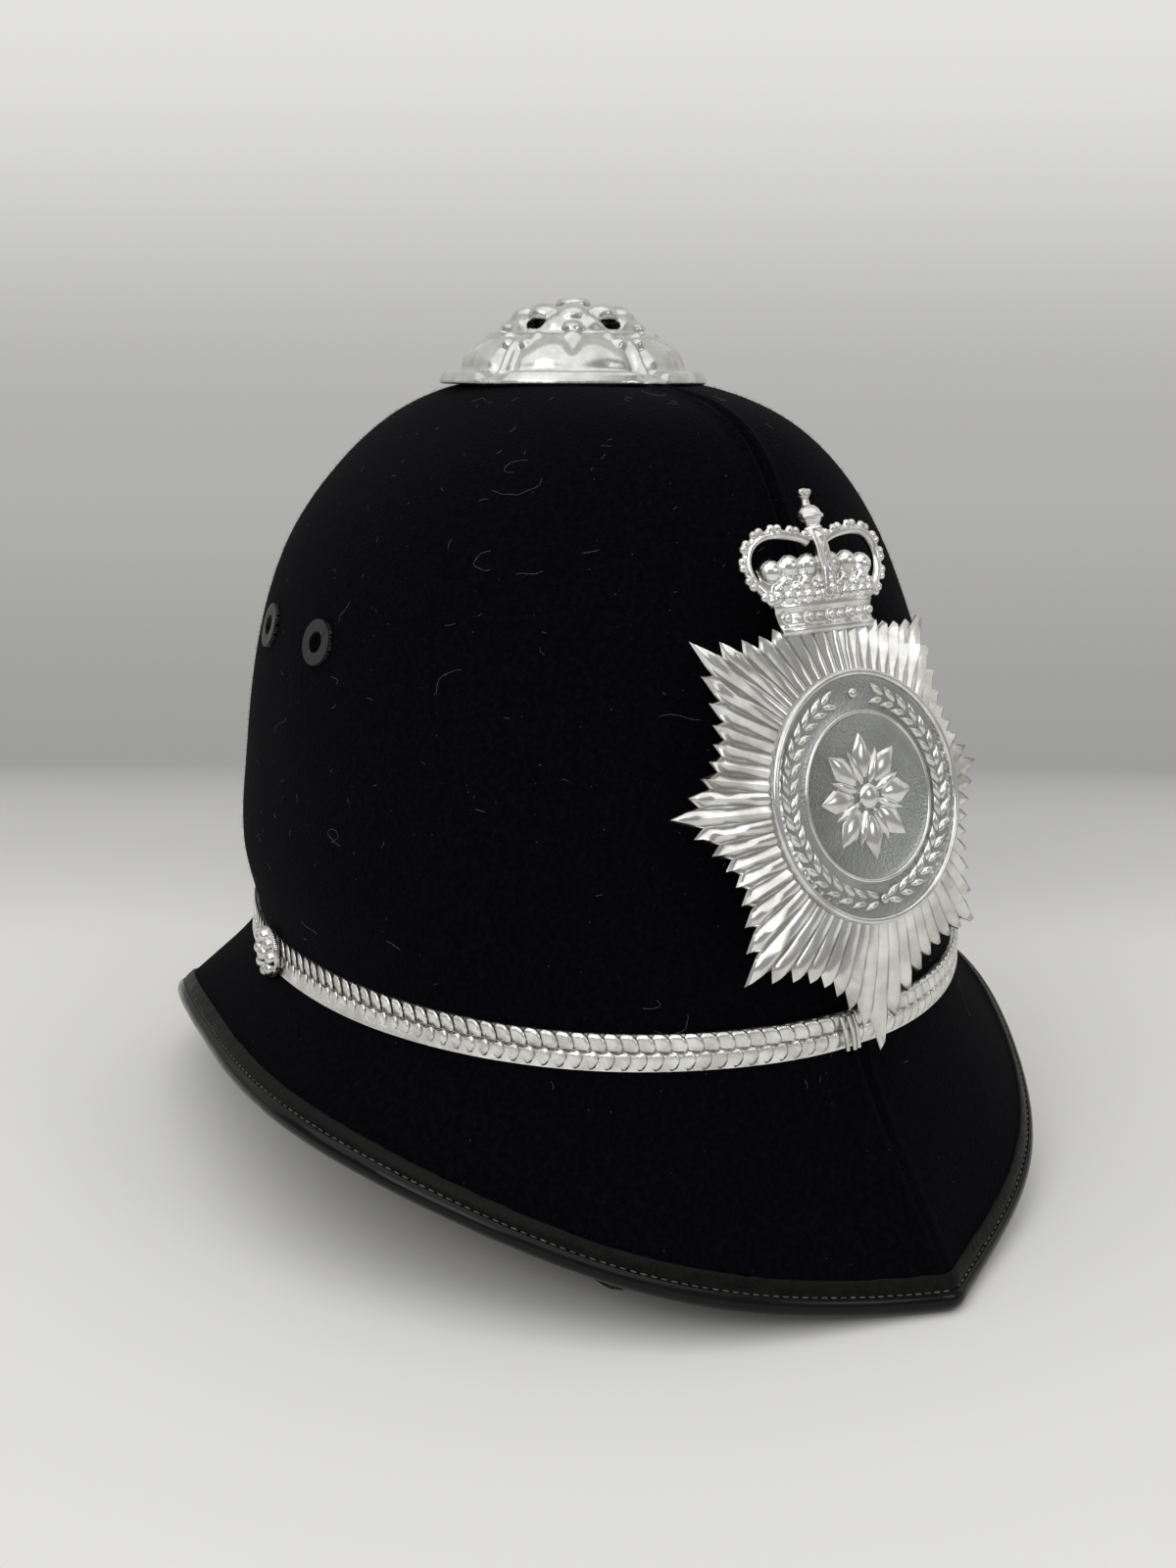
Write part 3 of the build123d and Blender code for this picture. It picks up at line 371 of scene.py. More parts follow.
def ball(radius: float, at: Vector, tall: float, segments: int, rings: int) -> bpy.types.Object:
    """Model a ball that may be flattened or drawn out upwards.

    Args:
        radius: Radius in millimetres.
        at: Its middle.
        tall: Height as a share of the width.
        segments: Facets round it.
        rings: Facets from pole to pole.

    Returns:
        The ball, its place in its mesh.
    """
    bpy.ops.object.select_all(action="DESELECT")
    bpy.ops.mesh.primitive_uv_sphere_add(
        segments=segments, ring_count=rings, radius=radius * MILLIMETRE, location=at
    )
    bpy.context.active_object.scale.z = tall
    return settled()


def bar(name: str, path: list[Vector], radius: float) -> bpy.types.Object:
    """Model a round bar along a path.

    Args:
        name: Name of the bar.
        path: Points along its middle.
        radius: Radius in millimetres.

    Returns:
        The closed bar as a mesh.
    """
    curve = bpy.data.curves.new(name, "CURVE")
    curve.dimensions = "3D"
    curve.bevel_depth = radius * MILLIMETRE
    curve.bevel_resolution = 3
    curve.use_fill_caps = True
    spline = curve.splines.new("POLY")
    spline.points.add(len(path) - 1)
    for index, spot in enumerate(path):
        spline.points[index].co = (*spot, 1.0)
    stand(name, curve)
    bpy.ops.object.convert(target="MESH")
    bpy.ops.object.shade_smooth()
    return bpy.context.active_object


def place(
    piece: bpy.types.Object, body: Body, slot: Slot, material: bpy.types.Material | None, *nodes: str
) -> None:
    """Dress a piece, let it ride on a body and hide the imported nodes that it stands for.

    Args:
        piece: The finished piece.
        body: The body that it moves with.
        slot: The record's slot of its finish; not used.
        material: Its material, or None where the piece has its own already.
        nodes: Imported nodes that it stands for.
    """
    if material is not None:
        piece.data.materials.clear()
        piece.data.materials.append(material)
    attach(piece, body.value)
    if nodes:
        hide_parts(*nodes)
    log.info("%s rides on %s with %d faces", piece.name, body.value, len(piece.data.polygons))


class Surface:
    """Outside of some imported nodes, as something to lay pieces on."""

    def __init__(self, *nodes: str) -> None:
        """Gather the nodes' triangles.

        Args:
            nodes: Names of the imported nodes.
        """
        outside = Shapes()
        for node in nodes:
            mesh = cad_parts[node].data
            corners = [vertex.co.copy() for vertex in mesh.vertices]
            outside.add(corners, [tuple(face.vertices) for face in mesh.polygons])
        self.tree = BVHTree.FromPolygons(outside.points, outside.faces)

    def cast(self, start: Vector, heading: Vector) -> Vector | None:
        """Return where a ray meets the surface, or None."""
        return self.tree.ray_cast(start, heading)[0]

    def from_heart(self, azimuth: float, slope: float) -> Vector | None:
        """Find the point of the surface seen from outside towards the heart of the crown.

        Args:
            azimuth: Direction in degrees.
            slope: Degrees above the level.

        Returns:
            The point, or None where the ray passes the brim.
        """
        turn, rise = math.radians(azimuth), math.radians(slope)
        outwards = Vector(
            (math.sin(turn) * math.cos(rise), -math.cos(turn) * math.cos(rise), math.sin(rise))
        )
        found = self.cast(CROWN_HEART + outwards * FAR_OUT, -outwards)
        if found is None or (found - CROWN_HEART).dot(outwards) < 0:
            return None
        return found

    def level(self, azimuth: float, height: float) -> Vector | None:
        """Find the point of the surface seen level towards the rose's axis.

        Args:
            azimuth: Direction in degrees.
            height: Height in metres.

        Returns:
            The first point met, which lies beyond the axis where the ray passes a hole.
        """
        outwards = direction(azimuth)
        axis = Vector((0, ROSE_AXIS_Y, height))
        return self.cast(axis + outwards * FAR_OUT, -outwards)


class Shading:
    """Builds the nodes of a material or of a group."""

    share_socket, first_socket, second_socket, mixed_socket = 0, 6, 7, 2

    def __init__(self, tree: bpy.types.NodeTree) -> None:
        """Keep the tree that the nodes go into."""
        self.tree = tree

    def fill(self, target: bpy.types.Node, inputs: dict[str | int, object]) -> None:
        """Give a node's inputs their values or links.

        Args:
            target: The node.
            inputs: A value or an output socket for each named or numbered input.
        """
        for key, value in inputs.items():
            if isinstance(value, bpy.types.NodeSocket):
                self.tree.links.new(value, target.inputs[key])
            else:
                target.inputs[key].default_value = value

    def node(
        self, kind: str, inputs: dict[str | int, object] | None = None, **settings: object
    ) -> bpy.types.Node:
        """Add a node.

        Args:
            kind: Blender's type of the node.
            inputs: Values or output sockets for its inputs.
            settings: Properties of the node and their values.

        Returns:
            The new node.
        """
        made = self.tree.nodes.new(kind)
        for key, value in settings.items():
            setattr(made, key, value)
        self.fill(made, inputs or {})
        return made

    def ramp(self, value: bpy.types.NodeSocket, low: float, high: float) -> bpy.types.NodeSocket:
        """Spread a value from low to high over zero to one."""
        spread = self.node("ShaderNodeMapRange", {"Value": value, "From Min": low, "From Max": high})
        return spread.outputs["Result"]

    def blend(self, share: bpy.types.NodeSocket, first: object, second: object) -> bpy.types.NodeSocket:
        """Mix two colours.

        Args:
            share: Share of the second colour.
            first: First colour, as four numbers or an output socket.
            second: Second colour, in the same way.

        Returns:
            The mixed colour.
        """
        colours = {self.share_socket: share, self.first_socket: first, self.second_socket: second}
        return self.node("ShaderNodeMix", colours, data_type="RGBA").outputs[self.mixed_socket]


def make_grain_group() -> bpy.types.NodeTree:
    """Build the grain shared by cloth, leather and metal.

    Returns:
        A group that gives a fine height, broad patches and small specks.
    """
    group = bpy.data.node_groups.new("surface_grain", "ShaderNodeTree")
    for key, value in {"Fine": 2000.0, "Broad": 40.0, "Specks": 260.0}.items():
        socket = group.interface.new_socket(name=key, in_out="INPUT", socket_type="NodeSocketFloat")
        socket.default_value = value
    for key in ("Height", "Patches", "Speck"):
        group.interface.new_socket(name=key, in_out="OUTPUT", socket_type="NodeSocketFloat")
    sketch = Shading(group)
    source = sketch.node("NodeGroupInput").outputs
    spot = sketch.node("ShaderNodeTexCoord").outputs["Object"]
    fine = sketch.node("ShaderNodeTexNoise", {"Vector": spot, "Scale": source["Fine"], "Detail": 3.0})
    broad = sketch.node("ShaderNodeTexNoise", {"Vector": spot, "Scale": source["Broad"], "Detail": 4.0})
    dots = sketch.node("ShaderNodeTexVoronoi", {"Vector": spot, "Scale": source["Specks"]})
    sketch.node("NodeGroupOutput", {
        "Height": fine.outputs["Fac"],
        "Patches": sketch.ramp(broad.outputs["Fac"], 0.35, 0.65),
        "Speck": sketch.ramp(dots.outputs["Distance"], 0.05, 0.02),
    })
    return group


GRAIN = make_grain_group()


@dataclass(frozen=True)
class Finish:
    """A finish: two colours that a grain mixes, its gloss and its relief in millimetres."""

    name: str
    colour: Triple
    second: Triple
    roughness: Pair
    fine: float
    broad: float
    relief: float
    strength: float = 0.5
    metallic: float = 0.0
    sheen: float = 0.0
    sheen_roughness: float = 0.45
    lint: float = 0.0
    lint_colour: tuple[float, ...] = (0.30, 0.30, 0.32, 1.0)
    specular: float = 0.5

    def material(self) -> bpy.types.Material:
        """Build the finish as a material.

        Returns:
            A node material with colour, roughness and bump from the shared grain.
        """
        made = bpy.data.materials.new(self.name)
        made.use_nodes = True
        sketch = Shading(made.node_tree)
        scales = {"Fine": self.fine, "Broad": self.broad}
        grain = sketch.node("ShaderNodeGroup", scales, node_tree=GRAIN).outputs
        colour = sketch.blend(grain["Patches"], (*self.colour, 1.0), (*self.second, 1.0))
        if self.lint > 0:
            share = sketch.node("ShaderNodeMath", {0: grain["Speck"], 1: self.lint}, operation="MULTIPLY")
            colour = sketch.blend(share.outputs[0], colour, self.lint_colour)
        low, high = self.roughness
        gloss = sketch.node("ShaderNodeMapRange", {"Value": grain["Patches"], "To Min": low, "To Max": high})
        depth = self.relief * MILLIMETRE
        relief = sketch.node(
            "ShaderNodeBump", {"Height": grain["Height"], "Strength": self.strength, "Distance": depth}
        )
        sketch.fill(made.node_tree.nodes["Principled BSDF"], {
            "Base Color": colour,
            "Roughness": gloss.outputs["Result"],
            "Normal": relief.outputs["Normal"],
            "Metallic": self.metallic,
            "Sheen Weight": self.sheen,
            "Sheen Roughness": self.sheen_roughness,
            "Specular IOR Level": self.specular,
        })
        return made


CLOTH = Finish(
    "navy_wool", (0.0006, 0.0006, 0.0011), (0.0022, 0.0023, 0.0042), (0.92, 1.0),
    fine=1100.0, broad=700.0, relief=0.45, strength=0.9, sheen=0.008, lint=0.18, specular=0.04,
)
NAP = Finish(
    "nap", (0.006, 0.0065, 0.010), (0.020, 0.021, 0.029), (0.95, 1.0),
    fine=2500.0, broad=300.0, relief=0.05, specular=0.06,
)
LINT = Finish(
    "lint", (0.11, 0.11, 0.12), (0.20, 0.20, 0.21), (0.9, 0.95), fine=2500.0, broad=300.0, relief=0.05
)
LINING = Finish(
    "black_lining", (0.010, 0.010, 0.011), (0.016, 0.016, 0.017), (0.75, 0.9),
    fine=1500.0, broad=90.0, relief=0.12,
)
PATENT = Finish(
    "patent_binding", (0.0012, 0.0012, 0.0014), (0.0028, 0.0027, 0.0026), (0.12, 0.22),
    fine=500.0, broad=90.0, relief=0.05, strength=0.25, specular=0.2,
)
SCUFFED = Finish(
    "scuffed_binding", (0.0014, 0.0014, 0.0013), (0.0050, 0.0047, 0.0040), (0.34, 0.55),
    fine=900.0, broad=330.0, relief=0.22, strength=0.9, specular=0.10,
)
THREAD = Finish(
    "stitch_thread", (0.030, 0.030, 0.028), (0.10, 0.10, 0.09), (0.4, 0.6),
    fine=2500.0, broad=400.0, relief=0.1,
)
LEATHER = Finish(
    "black_leather", (0.012, 0.011, 0.011), (0.022, 0.020, 0.019), (0.38, 0.6),
    fine=900.0, broad=60.0, relief=0.15,
)
RAW_EDGE = Finish(
    "raw_edge", (0.15, 0.055, 0.025), (0.23, 0.095, 0.045), (0.6, 0.8),
    fine=1500.0, broad=300.0, relief=0.12,
)
LEATHERCLOTH = Finish(
    "leathercloth", (0.013, 0.013, 0.014), (0.020, 0.020, 0.021), (0.45, 0.6),
    fine=1100.0, broad=80.0, relief=0.14,
)
BRIGHT = Finish(
    "bright_plate", (0.82, 0.82, 0.81), (0.56, 0.55, 0.51), (0.13, 0.27),
    fine=900.0, broad=150.0, relief=0.05, strength=0.30, metallic=1.0,
)
SATIN = Finish(
    "satin_plate", (0.62, 0.62, 0.605), (0.47, 0.47, 0.45), (0.20, 0.32),
    fine=1100.0, broad=200.0, relief=0.06, strength=0.35, metallic=1.0,
)
PITTED = Finish(
    "pitted_plate", (0.86, 0.86, 0.84), (0.66, 0.65, 0.60), (0.20, 0.38),
    fine=1300.0, broad=260.0, relief=0.14, strength=0.6, metallic=1.0,
)
STIPPLED = Finish(
    "stippled_plate", (0.37, 0.38, 0.37), (0.31, 0.32, 0.305), (0.24, 0.36),
    fine=1500.0, broad=90.0, relief=0.30, strength=1.0, metallic=1.0,
)
STEEL = Finish(
    "plain_steel", (0.55, 0.55, 0.54), (0.42, 0.41, 0.39), (0.28, 0.45),
    fine=700.0, broad=90.0, relief=0.04, metallic=1.0,
)
BLACKENED = Finish(
    "blackened", (0.012, 0.012, 0.012), (0.03, 0.03, 0.03), (0.3, 0.5),
    fine=900.0, broad=160.0, relief=0.05, metallic=0.5,
)
CORK = Finish(
    "cork", (0.30, 0.17, 0.08), (0.48, 0.31, 0.17), (0.85, 0.95), fine=900.0, broad=500.0, relief=0.4
)
BOARD = Finish(
    "pressed_board", (0.22, 0.15, 0.09), (0.32, 0.23, 0.15), (0.8, 0.9),
    fine=1200.0, broad=150.0, relief=0.15,
)
PAD = Finish(
    "pad_cloth", (0.030, 0.030, 0.033), (0.045, 0.045, 0.05), (0.85, 0.95),
    fine=1400.0, broad=90.0, relief=0.2,
)


@dataclass
class ClothCover:
    """Cloth over crown and brim, in two panels that meet in a seam at the front and the back.

    Lengths are in millimetres and directions in degrees.
    """

    top_slope: float = 83.6
    brim_slopes: Pair = (-60.0, -15.0)
    halvings: int = 22
    rows: int = 84
    samples: int = 240
    seam_azimuths: tuple[float, ...] = (-0.12, 0.25, 0.55, 0.9, 1.3, 1.8, 2.5, 3.5, 5.0, 7.5)
    even_step: float = 3.5
    wall: float = 1.0
    groove_half: float = 0.9
    groove_depth: float = 1.05
    welt_place: float = 2.2
    welt_height: float = 0.9
    hidden_edge: float = 1.3
    nap_count: int = 42000
    nap_width: float = 0.036
    nap_lengths: Pair = (0.35, 1.15)
    nap_slopes: Pair = (-33.0, 82.0)
    nap_rise: float = 0.75
    nap_slant: float = 0.7
    lint_count: int = 420
    lint_thickness: float = 0.035
    lint_clear: float = 0.16
    lint_azimuths: Pair = (-175.0, 175.0)
    lint_slopes: Pair = (-24.0, 70.0)
    lint_strides: Pair = (0.3, 0.9)
    long_lint_share: float = 0.16
    long_bends: tuple[int, int] = (8, 16)
    short_bends: tuple[int, int] = (2, 4)

    def edge_slope(self, surface: Surface, azimuth: float) -> float:
        """Find the lowest slope at which the brim is still met.

        Args:
            surface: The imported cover.
            azimuth: Direction in degrees.

        Returns:
            The slope in degrees above the level.
        """
        low, high = self.brim_slopes
        for _ in range(self.halvings):
            middle = (high + low) / 2
            if surface.from_heart(azimuth, middle) is None:
                low = middle
            else:
                high = middle
        return high

    def trimmed(self, line: list[Vector]) -> list[Vector]:
        """Leave off the end of a line that lies hidden in the binding.

        Args:
            line: Points from the top to the brim's edge.

        Returns:
            The line's points, ending short of the edge.
        """
        kept = list(line)
        hidden = self.hidden_edge * MILLIMETRE
        while len(kept) > 2:
            step = kept[-1] - kept[-2]
            if step.length > hidden:
                kept[-1] = kept[-1] - step * (hidden / step.length)
                break
            hidden -= step.length
            kept.pop()
        return kept

    def seam_lift(self, aside: float) -> float:
        """Return the height of the seam's relief at a distance from the middle, in millimetres."""
        groove = -self.groove_depth * bump(aside, 0.0, self.groove_half)
        return groove + self.welt_height * bump(aside, self.welt_place, self.groove_half)

    def row(self, surface: Surface, azimuth: float) -> list[Vector]:
        """Space points down the cover at an azimuth, lifted by the seam's relief.

        Args:
            surface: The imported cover.
            azimuth: Direction in degrees.

        Returns:
            As many points as a panel has rows.
        """
        last = self.edge_slope(surface, azimuth)
        found = []
        for step in range(self.samples):
            slope = self.top_slope + (last - self.top_slope) * step / (self.samples - 1)
            point = surface.from_heart(azimuth, slope)
            if point is not None:
                found.append(point)
        points = []
        for point in spaced(self.trimmed(found), self.rows):
            lift = self.seam_lift(abs(point.x) / MILLIMETRE)
            points.append(point + (point - CROWN_HEART).normalized() * lift * MILLIMETRE)
        return points

    def panel(self, side: int, surface: Surface, node: str) -> bpy.types.Object:
        """Model one panel, which passes the middle a little so that no gap shows in the seam.

        Args:
            side: 1 for the wearer's left, -1 for the right.
            surface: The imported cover.
            node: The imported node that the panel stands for.

        Returns:
            The panel with its thickness.
        """
        near = list(self.seam_azimuths)
        width = 180 - 2 * near[-1]
        count = int(width / self.even_step)
        even = [near[-1] + width * step / count for step in range(1, count)]
        azimuths = near + even + [180 - azimuth for azimuth in reversed(near)]
        points: list[Vector] = []
        for azimuth in azimuths:
            points.extend(self.row(surface, side * azimuth))
        piece = mesh_object(f"{node}_worked", points, grid_faces(len(azimuths), self.rows, closed=False))
        apply_modifier(piece, "SMOOTH", factor=0.4, iterations=1)
        self.face_out(mend(piece))
        thicken(piece, self.wall)
        return smooth(piece)

    def face_out(self, piece: bpy.types.Object) -> None:
        """Turn an open sheet so that its faces look away from the heart of the crown.

        Args:
            piece: The sheet, all its faces on one side.
        """
        middle = piece.data.polygons[len(piece.data.polygons) // 2]
        if (middle.center - CROWN_HEART).dot(middle.normal) < 0:
            choose_only(piece)
            bpy.ops.object.mode_set(mode="EDIT")
            bpy.ops.mesh.select_all(action="SELECT")
            bpy.ops.mesh.flip_normals()
            bpy.ops.object.mode_set(mode="OBJECT")

    def nap(self, surface: Surface) -> bpy.types.Object:
        """Raise the nap of the cloth as short loose hairs.

        Args:
            surface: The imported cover.

        Returns:
            One piece with all the hairs, each a thin triangle.
        """
        chance = random.Random(11)
        hairs = Shapes()
        for _ in range(self.nap_count):
            found = surface.from_heart(chance.uniform(-180, 180), chance.uniform(*self.nap_slopes))
            if found is None:
                continue
            away = (found - CROWN_HEART).normalized()
            slant = Vector((chance.uniform(-1, 1), chance.uniform(-1, 1), chance.uniform(-1.2, 0.6)))
            heading = (away * self.nap_rise + slant * self.nap_slant).normalized()
            wide = heading.cross(away).normalized() * self.nap_width * MILLIMETRE
            tip = found + heading * chance.uniform(*self.nap_lengths) * MILLIMETRE
            hairs.add((found - wide, found + wide, tip), [(0, 1, 2)])
        return hairs.piece("cloth_nap")

    def lint(self, surface: Surface) -> bpy.types.Object:
        """Scatter loose fibres over the cloth, each a thin bent thread.

        Args:
            surface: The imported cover.

        Returns:
            One piece with all the fibres.
        """
        chance = random.Random(7)
        fibres = Shapes()
        thick = self.lint_thickness * MILLIMETRE
        for _ in range(self.lint_count):
            azimuth = chance.uniform(*self.lint_azimuths)
            slope = chance.uniform(*self.lint_slopes)
            heading = chance.uniform(0, 2 * math.pi)
            stride = chance.uniform(*self.lint_strides)
            curl = chance.uniform(-0.45, 0.45)
            is_long = chance.random() < self.long_lint_share
            thread: list[Vector] = []
            for _ in range(chance.randint(*(self.long_bends if is_long else self.short_bends))):
                found = surface.from_heart(azimuth, slope)
                if found is None:
                    break
                away = (found - CROWN_HEART).normalized()
                across = away.cross(UP).normalized() * math.sin(heading)
                wide = (across + UP * math.cos(heading)).normalized() * thick
                middle = found + away * self.lint_clear * MILLIMETRE
                thread.extend((middle - wide, middle + away * thick, middle + wide))
                azimuth += math.cos(heading) * stride
                slope += math.sin(heading) * stride * 0.6
                heading += curl + chance.uniform(-0.5, 0.5)
            fibres.add(thread, grid_faces(len(thread) // 3, 3, closed=True))
        return fibres.piece("cloth_lint")

    def build(self) -> None:
        """Model both panels, their lint and their nap."""
        cloth = CLOTH.material()
        surface = Surface("cloth_cover_left", "cloth_cover_right")
        for side, node in ((1, "cloth_cover_left"), (-1, "cloth_cover_right")):
            place(self.panel(side, surface, node), Body.HELMET, Slot.CLOTH, cloth, node)
        place(self.lint(surface), Body.HELMET, Slot.CLOTH, LINT.material())
        place(self.nap(surface), Body.HELMET, Slot.CLOTH, NAP.material())


@dataclass
class BrimBinding:
    """Binding with its bead, its two flanges and the row of stitches between bead and flange.

    Lengths are in millimetres and directions in degrees, but what is searched is in metres.
    """

    bead_radius: float = 2.65
    bead_set_out: float = 0.25
    bead_half_turn: float = 112.0
    bead_steps: int = 16
    brim_wall: float = 4.0
    flange: float = 5.0
    flange_lift: float = 0.6
    under_lift: float = 0.65
    under_places: tuple[float, ...] = (4.9, 3.6, 2.2, 0.8)
    table_clear: float = 0.02
    joint_azimuth: float = 75.0
    joint_lap: float = 0.6
    front_swell: float = 1.035
    splice_azimuth: float = -21.0
    splice_lift: float = 0.3
    searched_reaches: Pair = (0.09, 0.16)
    searched_from: float = 0.12
    halvings: int = 24
    search_step: float = 0.2
    edge_clear: float = 0.01
    seam_clear: float = 0.03
    past_flange: float = 1.0
    line_points: int = 36
    stitch_pitch: float = 2.35
    stitch_length: float = 1.65
    stitch_radius: float = 0.24
    stitch_place: float = 1.15
    stitch_lift: float = 0.28
    stitch_shape: tuple[Pair, ...] = ((-0.5, 0.35), (-0.3, 0.9), (0.0, 1.0), (0.3, 0.9), (0.5, 0.35))
    stitch_level: float = 0.9
    groove_path: tuple[Pair, ...] = (
        (0.35, 0.55), (0.7, 0.02), (1.15, 0.08), (1.6, 0.62), (2.1, 0.95),
        (3.0, 1.0), (3.9, 1.0), (4.65, 1.0), (4.95, 0.75), (5.0, 0.0),
    )

    def rim_reach(self, surface: Surface, outwards: Vector) -> float:
        """Find how far the brim's edge is from the rose's axis.

        Args:
            surface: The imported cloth.
            outwards: Level direction.

        Returns:
            The distance in metres.
        """
        near, far = self.searched_reaches
        axis = Vector((0, ROSE_AXIS_Y, self.searched_from))
        for _ in range(self.halvings):
            middle = (near + far) / 2
            if surface.cast(axis + outwards * middle, DOWN) is None:
                far = middle
            else:
                near = middle
        return near

    def cloth_line(self, surface: Surface, outwards: Vector) -> list[Vector]:
        """Follow the cloth from its edge inwards, as far as the binding needs.

        Args:
            surface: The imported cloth.
            outwards: Level direction.

        Returns:
            Evenly spaced points, as reach and height in millimetres.
        """
        axis = Vector((0, ROSE_AXIS_Y, self.searched_from))
        reach = self.rim_reach(surface, outwards) - self.edge_clear * MILLIMETRE
        found: list[Vector] = []
        travelled = 0.0
        while travelled < self.flange + self.past_flange:
            point = surface.cast(axis + outwards * reach, DOWN)
            if point is None:
                break
            spot = Vector((reach, point.z)) / MILLIMETRE
            if found:
                travelled += (spot - found[-1]).length
            found.append(spot)
            reach -= self.search_step * MILLIMETRE
        return spaced(found, self.line_points)

    def along_cloth(self, line: list[Vector], distance: float, lift: float) -> Vector:
        """Find a point over the cloth, or under it.

        Args:
            line: The cloth's line.
            distance: Way from the cloth's edge in millimetres.
            lift: Distance off the cloth in millimetres.

        Returns:
            The point as reach and height in millimetres.
        """
        step = (self.flange + self.past_flange) / (len(line) - 1)
        index, share = leg_of(distance / step, len(line))
        spot = line[index].lerp(line[index + 1], share)
        before, after = line[max(index - 2, 0)], line[min(index + 3, len(line) - 1)]
        run = (before - after).normalized()
        return spot + Vector((-run.y, run.x)) * lift

    def section(self, line: list[Vector], swell: float, splice: float) -> list[Vector]:
        """Draw the binding's section, from its under flange round the bead to the upper one.

        Args:
            line: The cloth's line at the section.
            swell: Factor on the bead's radius.
            splice: Extra height of the upper flange in millimetres.

        Returns:
            Points as reach and height in millimetres.
        """
        under = -(self.brim_wall + self.under_lift)
        points = [self.along_cloth(line, self.flange, -self.brim_wall)]
        points += [self.along_cloth(line, distance, under) for distance in self.under_places]
        run = (line[0] - line[4]).normalized()
        heart = line[0] - Vector((-run.y, run.x)) * self.brim_wall / 2 + run * self.bead_set_out
        ahead, half = math.atan2(run.y, run.x), math.radians(self.bead_half_turn)
        for step in range(self.bead_steps + 1):
            angle = ahead - half + 2 * half * step / self.bead_steps
            points.append(heart + Vector((math.cos(angle), math.sin(angle))) * self.bead_radius * swell)
        for distance, share in self.groove_path:
            points.append(self.along_cloth(line, distance, (self.flange_lift + splice) * share))
        return [Vector((point.x, max(point.y, self.table_clear))) for point in points]

    def sweep(self, name: str, first: float, last: float, swell: float, surface: Surface) -> bpy.types.Object:
        """Sweep the section between two azimuths.

        Args:
            name: Name of the piece.
            first: First azimuth in degrees.
            last: Last azimuth in degrees.
            swell: Factor on the bead's radius.
            surface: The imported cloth.

        Returns:
            The closed length of binding, with its own materials on bead and flanges.
        """
        count = int(last - first) + 1
        points: list[Vector] = []
        for step in range(count):
            azimuth = first + (last - first) * step / (count - 1) + self.seam_clear
            outwards = direction(azimuth)
            splice = self.splice_lift if first < azimuth < self.splice_azimuth else 0.0
            section = self.section(self.cloth_line(surface, outwards), swell, splice)
            points.extend(off_axis(outwards, spot.x, spot.y) for spot in section)
        columns = len(section)
        faces = grid_faces(count, columns, closed=True)
        faces.append(tuple(range(columns)))
        faces.append(tuple(range((count - 1) * columns, count * columns)))
        piece = mesh_object(name, points, faces)
        piece.data.materials.append(PATENT.material())
        piece.data.materials.append(SCUFFED.material())
        bead_start = 1 + len(self.under_places)
        bead = range(bead_start, bead_start + self.bead_steps)
        for index, face in enumerate(piece.data.polygons):
            face.material_index = 0 if index % columns in bead else 1
        return smooth(mend(piece), sharp=60.0)

    def stitch(self, at: Vector, along: Vector, up: Vector) -> list[Vector]:
        """Model one stitch as a short bowed thread with four sides.

        Args:
            at: Middle of the stitch.
            along: Direction of the seam.
            up: Direction off the binding.

        Returns:
            Its points, four for each place in its shape.
        """
        across = along.cross(up).normalized()
        radius = self.stitch_radius * MILLIMETRE
        points = []
        for share, swell in self.stitch_shape:
            run = along * share * self.stitch_length * MILLIMETRE
            middle = at + run + up * (swell - self.stitch_level) * radius
            points.extend(middle + away * radius * swell for away in (across, up, -across, -up))
        return points

    def stitches(self, surface: Surface) -> bpy.types.Object:
        """Lay the stitches along the groove.

        Args:
            surface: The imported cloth.

        Returns:
            One piece with all the stitches.
        """
        rim: list[Vector] = []
        lifts: list[Vector] = []
        for step in range(361):
            outwards = direction(step + self.seam_clear)
            line = self.cloth_line(surface, outwards)
            low = self.along_cloth(line, self.stitch_place, self.stitch_lift)
            high = self.along_cloth(line, self.stitch_place, self.stitch_lift + 1.0) - low
            rim.append(off_axis(outwards, low.x, low.y))
            lifts.append((outwards * high.x + UP * high.y).normalized())
        length = sum((after - before).length for before, after in zip(rim, rim[1:]))
        places = spaced(rim, int(length / (self.stitch_pitch * MILLIMETRE)))
        thread = Shapes()
        nearest = 0
        for before, at, after in zip(places, places[1:], places[2:]):
            while nearest < len(rim) - 2 and (rim[nearest + 1] - at).length < (rim[nearest] - at).length:
                nearest += 1
            stitch = self.stitch(at, (after - before).normalized(), lifts[nearest])
            thread.add(stitch, grid_faces(len(self.stitch_shape), 4, closed=True))
        return thread.piece("binding_stitches")

    def build(self) -> None:
        """Model both lengths of binding and the stitches."""
        surface = Surface("cloth_cover_left", "cloth_cover_right")
        joint, end = self.joint_azimuth, self.joint_azimuth + self.joint_lap
        front = self.sweep("binding_front_worked", -end, end, self.front_swell, surface)
        rear = self.sweep("binding_rear_worked", joint, 360 - joint, 1.0, surface)
        place(front, Body.HELMET, Slot.LEATHER, None, "binding_front")
        place(rear, Body.HELMET, Slot.LEATHER, None, "binding_rear")
        place(self.stitches(surface), Body.HELMET, Slot.LEATHER, THREAD.material())


